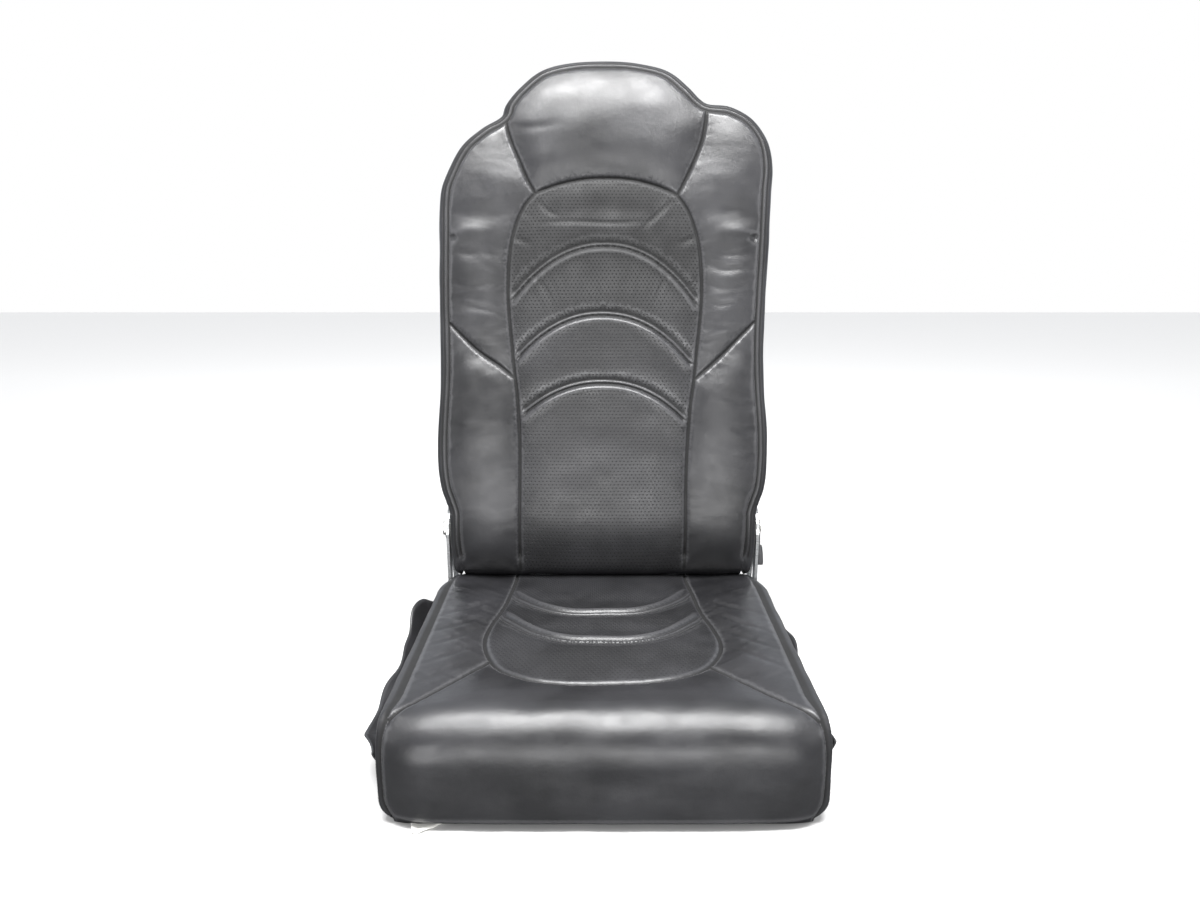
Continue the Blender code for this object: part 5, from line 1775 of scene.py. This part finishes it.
    def columns(self, outline: Line, starts: Line) -> tuple[np.ndarray, np.ndarray]:
        """Hangs the boxing from the outer seam.

        Args:
            outline: the outline of the top and front in its flat plan.
            starts: the places of its points.

        Returns:
            The places of the boxing by row and column, and how far each is from the outer seam.
        """
        along, ys, zs = self.profile()
        curve = np.column_stack([ys, zs])
        share = np.linspace(0.0, 1.0, 30) ** 1.35
        hem_front = self.front_start - self.front_round[0] + 0.022
        turning = outline[:, 1] > self.rear - self.rear_radius
        inner = np.column_stack([
            np.clip(outline[:, 0], -(self.welt_top - self.rear_width), self.welt_top - self.rear_width),
            np.full(len(outline), self.rear - self.rear_radius),
        ])
        outward = np.column_stack([outline[:, 0], 0.0 * outline[:, 0]])
        out = np.where(turning[:, None], outline - inner, outward)
        out /= np.linalg.norm(out, axis=1)[:, None]
        v = outline[:, 1]
        target = np.interp(v, [along[-1], -0.02, 1.0], [hem_front, -0.02, 1.0])
        target = np.where(turning, starts[:, 1], target)
        places, far = [], []
        for part in share:
            z = starts[:, 2] + (self.hem - starts[:, 2]) * part
            y = starts[:, 1] + (target - starts[:, 1]) * part
            depth = np.where(turning, starts[:, 2] - z, nearest(np.column_stack([y, z]), curve)[0])
            wide = self.half_width - np.abs(starts[:, 0])
            around = self.overhang * np.abs(out[:, 0]) + self.rear_overhang * np.abs(out[:, 1])
            wide = np.where(turning, around, wide)
            reach = 0.016 + 0.003 * smoothstep(-0.16, -0.235, v)
            edge = np.clip(1.0 - depth / reach, 0.0, 1.0)
            at_front = smoothstep(-0.15, -0.20, y)
            tuck = (0.006 + 0.012 * at_front) * np.clip(1.0 - z / (0.012 + 0.016 * at_front), 0.0, 1.0) ** 2
            step_out = wide * np.sqrt(np.clip(1.0 - edge ** 2, 0.0, 1.0)) - tuck * (part > 0.0)
            places.append(np.column_stack([starts[:, 0] + out[:, 0] * step_out, y + out[:, 1] * step_out, z]))
            far.append(depth)
        return np.array(places), np.array(far)

    def seams(self, side: Line) -> list[Seam]:
        """Lays out the seams in the flat plan.

        Args:
            side: the line of the outer seam.

        Returns:
            The seams, with the outer one first and those that others end on before them.
        """
        step = self.step * SEAM_STEP
        cuts = [spline(metres(points), step) for points in (self.CUT_LEFT, self.CUT_RIGHT)]
        arcs = [
            arch(metres(left), metres(right), crown * MM, power, step)
            for left, right, crown, power in self.ARCS
        ]
        return [
            Seam(side, SeamKind.WELT, (-3.4,)), Seam(spline(metres(self.INSERT), step), stitched=(-3.4,)),
            *(Seam(line[::-1], SeamKind.FOLD, (2.6,), 0.3 * MM, 0.85) for line in arcs),
            Seam(cuts[0], stitched=(-3.2,)), Seam(cuts[1], stitched=(3.2,)),
        ]

    def panels(self, flat: Line) -> np.ndarray:
        """Sorts flat points by panel.

        Args:
            flat: the points.

        Returns:
            The number of the panel that each one is in.
        """
        insert = metres([*self.INSERT, (130, 300), (-130, 300)])
        line = metres([*self.CUT_LEFT[::-1], *self.CUT_RIGHT])
        diagonal = np.interp(flat[:, 0], line[:, 0], line[:, 1])
        result = np.where(flat[:, 1] > diagonal, Panel.SIDE.value, Panel.FRONT.value)
        result[inside(flat, insert)] = Panel.BAND.value
        return result

    def heights(self, cover: Cover) -> np.ndarray:
        """Stuffs the top and front, works their seams, wrinkles and creases, and paints shade into their grooves
        and folds.

        Args:
            cover: the cover, with its front cut.

        Returns:
            How far each point stands out from the block.
        """
        flat = cover.flat[:cover.front_count]
        x, v = flat.T
        panel, lines = self.panels(flat), []
        for seam in cover.seams:
            if seam.kind is not SeamKind.FOLD:
                moved = 0.05 * smoothstep(0.190, self.rear, seam.line[:, 1])
                lines.append(seam.line + np.outer(moved, (0.0, 1.0)))
        near = nearest_of(flat, lines)
        height = stuffed_height(panel, near + UNSEWN * smoothstep(0.215, 0.236, v))
        height *= 1.0 - 0.5 * smoothstep(0.165, 0.212, v)
        corner = np.exp(-((np.abs(x) - 0.205) / 0.022) ** 2) * smoothstep(0.185, 0.225, v)
        height += 3.5 * MM * corner
        height = cover.relax(height, near < HELD, EVENING) - groove_depth(near)
        # painted shade in the seams' grooves
        cover.painted_shade = seam_shade(near)
        cover.pricked = smoothstep(6.0 * MM, 7.5 * MM, near)
        height += self.wrinkles(flat, panel) * smoothstep(0.0, 9.0 * MM, near)
        fade = smoothstep(0.0, FADE, near) * (panel == Panel.BAND.value)
        height = cover.creased(cover.gathered(height, fade, 6), near, self.CREASES)
        end = self.profile()[0][-1]
        bulge = 3.0 * MM * np.sin(math.pi * np.clip((v - end) / 0.115, 0.0, 1.0))
        return (height + bulge) * smoothstep(end, end + 0.014, v)

    @staticmethod
    def wrinkles(flat: Line, panel: np.ndarray) -> np.ndarray:
        """Wrinkles the leather, each panel in its own way.

        Args:
            flat: the points of the top and front.
            panel: the panel of each.

        Returns:
            The height of each point.
        """
        x, v = flat.T
        soft = 0.8 * MM * ripple(x / 0.055, v / 0.050, 11)
        across = 0.75 * np.abs(x) - v
        along = np.abs(x) + 0.7 * v + 2.0 * np.sign(x)
        side = 0.80 * MM * wrinkled(along, across, 0.120, 0.021, 12)
        front = 0.7 * MM * ripple(x / 0.045, v / 0.035, 13) + 0.15 * MM * wrinkled(x, v, 0.05, 0.012, 15)
        return soft + np.select([panel == Panel.SIDE.value, panel == Panel.FRONT.value], [side, front], 0.0)

    def press_rear(self, cover: Cover) -> None:
        """Presses the rear of the top down under the roll of the back.

        Args:
            cover: the cover.
        """
        (_, y, z), (_, roll_y, roll_z) = cover.points.T, self.roll_axis
        reach = np.sqrt(np.maximum(self.roll_radius ** 2 - (y - roll_y) ** 2, 0.0))
        under = roll_z - reach
        pressed = (np.abs(y - roll_y) < self.roll_radius) & (z > under)
        cover.points[pressed, 2] = under[pressed]

    def build(self, materials: Sequence[bpy.types.Material], thread: bpy.types.Material) -> None:
        """Makes the leather and its stitches.

        Args:
            materials: the leathers, plain and perforated.
            thread: the finish of the thread.
        """
        border = self.outline()
        foot = resample(np.array([border[-1], border[0]]), self.step)[1:-1]
        cover = Cover(np.vstack([border, foot]), self.seams(border), self.step)
        cover.cut_front(self.place)
        columns, far = self.columns(border, self.place(border))
        arc = np.arange(len(border)) * self.step
        drops = [np.full(len(arc), -1.0 - 0.004 * k) for k in range(len(columns))]
        cover.add_boxing(columns, np.array([np.column_stack([arc, drop]) for drop in drops]), closed=False)
        front = self.heights(cover)
        edge = front[cover.grid[0]]
        unseen = np.zeros(len(cover.points) - cover.front_count)
        height, cover.painted_shade = np.concatenate([front, unseen]), np.concatenate([cover.painted_shade, unseen])
        at_rear = smoothstep(0.190, self.rear, border[:, 1])
        for number in range(1, len(columns)):
            gap = far[number]
            # painted shade along the outer seam
            cover.painted_shade[cover.grid[number]] = seam_shade(gap)
            own = PADS[Panel.BOXING].height_at(gap) - groove_depth(gap) * (1.0 - at_rear)
            own += edge * at_rear * np.exp(-(gap / (9.0 * MM)) ** 2)
            own += 0.8 * MM * ripple(arc / 0.045, gap / 0.03, 14) * smoothstep(0.0, 0.01, gap)
            height[cover.grid[number]] = own * smoothstep(self.hem, 0.020, columns[number][:, 2])
        cover.fill_out(height, (-0.17, -0.15, 0.05), (0.17, 0.17, 0.05))
        self.press_rear(cover)
        cover.choose_leathers(self.panels)
        piece = cover.build("cushion_leather", np.asarray, materials)
        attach(piece, "seat_base")
        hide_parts("seat_cover")
        LOG.info("%s: %d faces", piece.name, len(cover.faces))
        rows = [*cover.stitch_rows(), cover.points[cover.grid[3]]]
        Stitching().sew("cushion_stitches", rows, thread, "seat_base")


# Smaller soft pieces


def sheet_piece(
    name: str, middle: np.ndarray, thickness: float, material: bpy.types.Material,
) -> bpy.types.Object:
    """Makes a thin sheet round a grid of points.

    Args:
        name: the name of the piece.
        middle: the points of its middle surface, by row and column.
        thickness: how thick it is.
        material: its finish.

    Returns:
        The piece.
    """
    normal = np.cross(np.gradient(middle, axis=0), np.gradient(middle, axis=1))
    normal *= thickness / 2.0 / (np.linalg.norm(normal, axis=2)[:, :, None] + TINY)
    return add_piece(name, *closed_grid(middle + normal, middle - normal), [material])


@dataclass(frozen=True)
class SideFlap:
    """A flap sewn low on the cushion's side, loose at its outer edge: stations of y, height, reach and rise."""

    name: str
    side: int
    stations: tuple[tuple[float, float, float, float], ...]
    thickness: float = 2.0 * MM
    seam: float = 0.2425
    wave: float = 1.6 * MM

    def middle(self) -> np.ndarray:
        """Lays out the middle surface.

        Returns:
            Its points, by row along the seat and column across the flap.
        """
        grid = []
        for number, (y, z, reach, rise) in enumerate(spline(self.stations, 4.0 * MM).tolist()):
            row = []
            for share in np.linspace(0.0, 1.0, 12).tolist():
                sway = self.wave * share * math.sin(number * 0.33 + 2.0 * self.side)
                droop = 0.16 * reach * math.sin(math.pi * share)
                out = reach * (share - 0.10 * share * share * math.sin(number * 0.21))
                row.append((self.side * (self.seam + out), y, z + rise * share ** 1.6 - droop + sway))
            grid.append(row)
        return np.array(grid)

    def build(self, material: bpy.types.Material) -> None:
        """Makes the flap.

        Args:
            material: its leather.
        """
        middle = self.middle()
        piece = sheet_piece(f"flap_{self.name}", middle, self.thickness, material)
        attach(piece, "seat_base")
        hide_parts(f"side_flap_{self.name}")
        LOG.info("%s: %d rows", piece.name, len(middle))


@dataclass(frozen=True)
class Liner:
    """The thin white cloth under the cushion's front, with its loose corner."""

    thickness: float = 0.4 * MM
    depth: float = 0.075
    radius: float = 0.028
    setback: float = 0.036
    loose_start: float = -0.212
    loose_end: float = -0.146
    reach: float = 0.038
    rise: float = 1.2 * MM

    def build(self, material: bpy.types.Material) -> None:
        """Makes the liner.

        Args:
            material: its cloth.
        """
        low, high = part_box("seat_liner")
        middle = np.zeros((26, 90, 3))
        for r, down in enumerate(np.linspace(0.0, 1.0, 26)):
            for c, across in enumerate(np.linspace(0.0, 1.0, 90)):
                x = low.x + (high.x - low.x) * across
                corner = max(abs(x) - (high.x - self.radius), 0.0)
                front = low.y + self.radius - math.sqrt(max(self.radius ** 2 - corner ** 2, 0.0))
                loose = min(max((x - self.loose_start) / 0.008, 0.0), 1.0)
                loose *= min(max((self.loose_end - x) / 0.050, 0.0), 1.0) * (1.0 - down) ** 3
                y = front + self.setback - loose * self.reach + self.depth * down
                z = (low.z + high.z) / 2.0 + loose * self.rise * (1.0 + math.sin(x * 420.0))
                middle[r, c] = (x, y, z)
        piece = sheet_piece("liner_cloth", middle, self.thickness, material)
        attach(piece, "seat_base")
        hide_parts("seat_liner")
        LOG.info("%s: laid", piece.name)


@dataclass(frozen=True)
class SeatFoam:
    """The cushion's foam block, seen from below through the pan's holes."""

    step: float = 6.0 * MM
    edge: float = 10.0 * MM
    inset: float = 22.0 * MM
    share: float = 0.8

    def build(self, material: bpy.types.Material) -> None:
        """Makes the block.

        Args:
            material: its foam.
        """
        low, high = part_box("seat_foam")
        xs, ys = (
            np.linspace(start + self.inset, end - self.inset, int((end - start) / self.step))
            for start, end in ((low.x, high.x), (low.y, high.y))
        )
        x, y = np.meshgrid(xs, ys, indexing="ij")
        border = np.minimum.reduce([x - xs[0], xs[-1] - x, y - ys[0], ys[-1] - y])
        drop = self.edge - np.sqrt(self.edge ** 2 - np.clip(self.edge - border, 0.0, self.edge * 0.99) ** 2)
        drop += 0.35 * MM * (1.0 + ripple(x / 0.009, y / 0.009, 21))
        drop += 0.4 * MM * (1.0 + ripple(x / 0.05, y / 0.06, 22))
        bottom = np.stack([x, y, low.z + drop], axis=2)
        top = np.stack([x, y, low.z + (high.z - low.z) * self.share - drop], axis=2)
        piece = add_piece("seat_foam_block", *closed_grid(top, bottom), [material])
        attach(piece, "seat_base")
        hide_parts("seat_foam")
        LOG.info("%s: laid", piece.name)


# Hardware, studio and the whole


@dataclass(frozen=True)
class Hardware:
    """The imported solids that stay, by finish: its name, the finish, and the first words of their names."""

    finishes: tuple[tuple[str, object, tuple[str, ...]], ...] = (
        ("aluminium",
         MetalFinish((0.74, 0.75, 0.75), (0.56, 0.57, 0.58), (0.24, 0.40), (60.0, 1400.0, 1400.0)),
         ("seat_pan", "rear_crossmember", "hinge_plate_left", "hinge_plate_right")),
        ("zinc_steel",
         MetalFinish((0.58, 0.58, 0.56), (0.42, 0.41, 0.36), (0.28, 0.46), (500.0, 500.0, 500.0)),
         ("hinge_bolt", "recliner_", "return_spring", "spring_pin", "shell_screw", "cross_shaft",
          "lever_screw", "shaft_collar")),
        ("bronze",
         MetalFinish((0.56, 0.36, 0.15), (0.36, 0.22, 0.10), (0.30, 0.48), (700.0, 700.0, 700.0)),
         ("pivot_bush",)),
        ("frame_paint",
         PaintFinish((0.030, 0.031, 0.034), (0.16, 0.16, 0.165), (0.40, 0.58)),
         ("frame_", "lower_cross_tube", "middle_tube", "headrest_stay")),
        ("lever_paint",
         PaintFinish((0.020, 0.020, 0.022), (0.20, 0.20, 0.20), (0.26, 0.44)),
         ("release_lever",)),
        ("grip_plastic",
         PlasticFinish((0.018, 0.018, 0.020), (0.050, 0.050, 0.054), (0.42, 0.60), 0.9 * MM),
         ("lever_grip",)),
        ("shell_plastic",
         PlasticFinish((0.036, 0.036, 0.040), (0.085, 0.085, 0.090), (0.46, 0.64)),
         ("back_shell",)),
        ("tape",
         WovenFinish((0.012, 0.012, 0.014), (0.050, 0.050, 0.055), 1.6 * MM),
         ("hook_tape", "lumbar_strap")),
    )

    def dress(self, nodes: dict[str, bpy.types.Object]) -> None:
        """Gives each kept solid its finish.

        Args:
            nodes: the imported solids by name.
        """
        for label, finish, starts in self.finishes:
            material = finish.build(label)
            chosen = [node for name, node in nodes.items() if name.startswith(starts)]
            for node in chosen:
                node.data.materials.clear()
                node.data.materials.append(material)
            LOG.info("%s: %d solids", label, len(chosen))


@dataclass(frozen=True)
class Lamp:
    """A soft rectangular lamp: its place, its width and height, its power in watts and its turns in degrees."""

    name: str
    place: tuple[float, float, float]
    size: tuple[float, float]
    power: float
    pitch: float
    turn: float = 0.0

    def build(self) -> None:
        """Hangs the lamp."""
        light = bpy.data.lights.new(self.name, "AREA")
        light.shape, light.size, light.size_y, light.energy = "RECTANGLE", *self.size, self.power
        lamp = bpy.data.objects.new(self.name, light)
        lamp.location = self.place
        lamp.rotation_euler = (math.radians(self.pitch), 0.0, math.radians(self.turn))
        bpy.context.scene.collection.objects.link(lamp)


@dataclass(frozen=True)
class Studio:
    """The camera of the photograph, soft light from above, a pale floor and a white background."""

    place: tuple[float, float, float] = (-0.004, -1.123, 0.608)
    tilt: float = math.radians(90.0 - 12.1)
    lens: float = 28.35
    sensor: float = 36.0
    reach: float = 8.0
    lamps: tuple[Lamp, ...] = (
        Lamp("overhead", (0.0, -0.65, 2.30), (1.8, 0.8), 170.0, 12.0),
        Lamp("front", (0.0, -3.2, 0.45), (3.2, 0.5), 78.0, 90.0),
        Lamp("left", (-2.0, -0.7, 1.1), (0.9, 1.3), 9.0, 75.0, -70.0),
        Lamp("right", (2.0, -0.7, 1.1), (0.9, 1.3), 9.0, 75.0, 70.0),
    )

    def build(self) -> None:
        """Makes the camera, the lamps, the floor and the world."""
        scene = bpy.context.scene
        data = bpy.data.cameras.new("camera")
        data.lens, data.sensor_width = self.lens, self.sensor
        camera = bpy.data.objects.new("camera", data)
        camera.location = self.place
        camera.rotation_euler = (self.tilt, 0.0, 0.0)
        scene.collection.objects.link(camera)
        scene.camera = camera
        scene.view_settings.view_transform = "Standard"
        for lamp in self.lamps:
            lamp.build()
        scene.world = self.world()
        floor = self.floor()
        LOG.info("studio: %d lamps", len(self.lamps))

    def floor(self) -> bpy.types.Object:
        """Lays the floor: pale, painted paler far behind to make up for the light that falls off there, and
        painted dark for glossy rays as a painted reflection.

        Returns:
            The floor.
        """
        far = self.reach
        mesh = bpy.data.meshes.new("floor")
        mesh.from_pydata([(-far, -far, 0), (far, -far, 0), (far, far, 0), (-far, far, 0)], [], [(0, 1, 2, 3)])
        floor = bpy.data.objects.new("floor", mesh)
        nodes = Nodes("floor")
        near = nodes.blend(nodes.noise(3.0, 3.0), (0.56, 0.56, 0.56), (0.59, 0.59, 0.59))
        behind = nodes.add("ShaderNodeSeparateXYZ", {0: nodes.place}).outputs["Y"]
        # painted light: the floor paler far behind, where less light reaches it
        pale = nodes.blend(nodes.span(behind, (0.3, 3.5), (0.0, 1.0)), near, (0.84, 0.84, 0.84))
        reflected = nodes.add("ShaderNodeLightPath").outputs["Is Glossy Ray"]
        # painted reflection: near-black for glossy rays only, so the leather reflects a dark floor
        colour = nodes.blend(nodes.math("MULTIPLY", reflected, 0.93), pale, (0.03, 0.032, 0.035))
        nodes.set("Base Color", colour)
        nodes.set("Roughness", 0.6)
        mesh.materials.append(nodes.material)
        bpy.context.scene.collection.objects.link(floor)
        return floor

    @staticmethod
    def world() -> bpy.types.World:
        """Makes a background that is white for the camera and even for diffuse light.

        Returns:
            The world, which for reflections is pale behind the seat and dark in front of it.
        """
        world = bpy.data.worlds.new("studio")
        world.use_nodes = True
        world.node_tree.nodes.clear()
        tree = Tree(world.node_tree)
        plain = (1.0, 1.0, 1.0, 1.0)
        rays = tree.add("ShaderNodeLightPath").outputs
        toward = tree.add("ShaderNodeTexCoord").outputs["Generated"]
        behind = tree.add("ShaderNodeSeparateXYZ", {0: toward}).outputs["Y"]
        strength = tree.span(behind, (-0.3, 0.5), (0.20, 0.85))
        shown = tree.add("ShaderNodeBackground", {"Color": (0.90, 0.94, 1.0, 1.0), "Strength": strength})
        soft = tree.add("ShaderNodeBackground", {"Color": plain, "Strength": 1.10})
        white = tree.add("ShaderNodeBackground", {"Color": plain})
        lit = tree.add("ShaderNodeMixShader", {
            0: rays["Is Diffuse Ray"], 1: shown.outputs[0], 2: soft.outputs[0],
        })
        mixed = tree.add("ShaderNodeMixShader", {
            0: rays["Is Camera Ray"], 1: lit.outputs[0], 2: white.outputs[0],
        })
        tree.add("ShaderNodeOutputWorld", {"Surface": mixed.outputs[0]})
        return world


LEFT_FLAP = (
    (0.192, 0.070, 0.008, 0.030), (0.180, 0.069, 0.022, 0.038), (0.150, 0.065, 0.030, 0.038),
    (0.118, 0.058, 0.026, 0.024), (0.080, 0.052, 0.030, 0.018), (0.010, 0.047, 0.034, 0.010),
    (-0.060, 0.045, 0.038, 0.006), (-0.110, 0.048, 0.034, 0.006), (-0.160, 0.056, 0.018, 0.008),
    (-0.195, 0.066, 0.008, 0.008),
)
RIGHT_FLAP = (
    (0.200, 0.056, 0.018, 0.014), (0.150, 0.052, 0.026, 0.016), (0.090, 0.050, 0.024, 0.016),
    (0.020, 0.050, 0.015, 0.014), (-0.060, 0.052, 0.010, 0.014), (-0.130, 0.060, 0.008, 0.014),
    (-0.195, 0.078, 0.008, 0.012),
)


def main() -> None:
    """Builds the seat in order."""
    logging.basicConfig(level=logging.INFO, format="%(name)s %(message)s")
    Studio().build()
    leathers = [
        LeatherFinish().build("leather"), LeatherFinish().build("leather_perforated", perforated=True),
    ]
    thread = WovenFinish((0.030, 0.030, 0.032), (0.090, 0.090, 0.095), 0.5 * MM, 0.05 * MM).build("thread")
    BackLeather().build(leathers, thread)
    CushionLeather().build(leathers, thread)
    flap = LeatherFinish(dark=(0.012, 0.012, 0.013), light=(0.022, 0.022, 0.024)).build("flap_leather")
    SideFlap("left", -1, LEFT_FLAP).build(flap)
    SideFlap("right", 1, RIGHT_FLAP).build(flap)
    Liner().build(WovenFinish((0.72, 0.71, 0.67), (0.86, 0.85, 0.82), 0.9 * MM, 0.08 * MM).build("liner"))
    SeatFoam().build(FoamFinish().build("foam"))
    Hardware().dress(frame["nodes"])


if __name__ == "__main__":
    main()
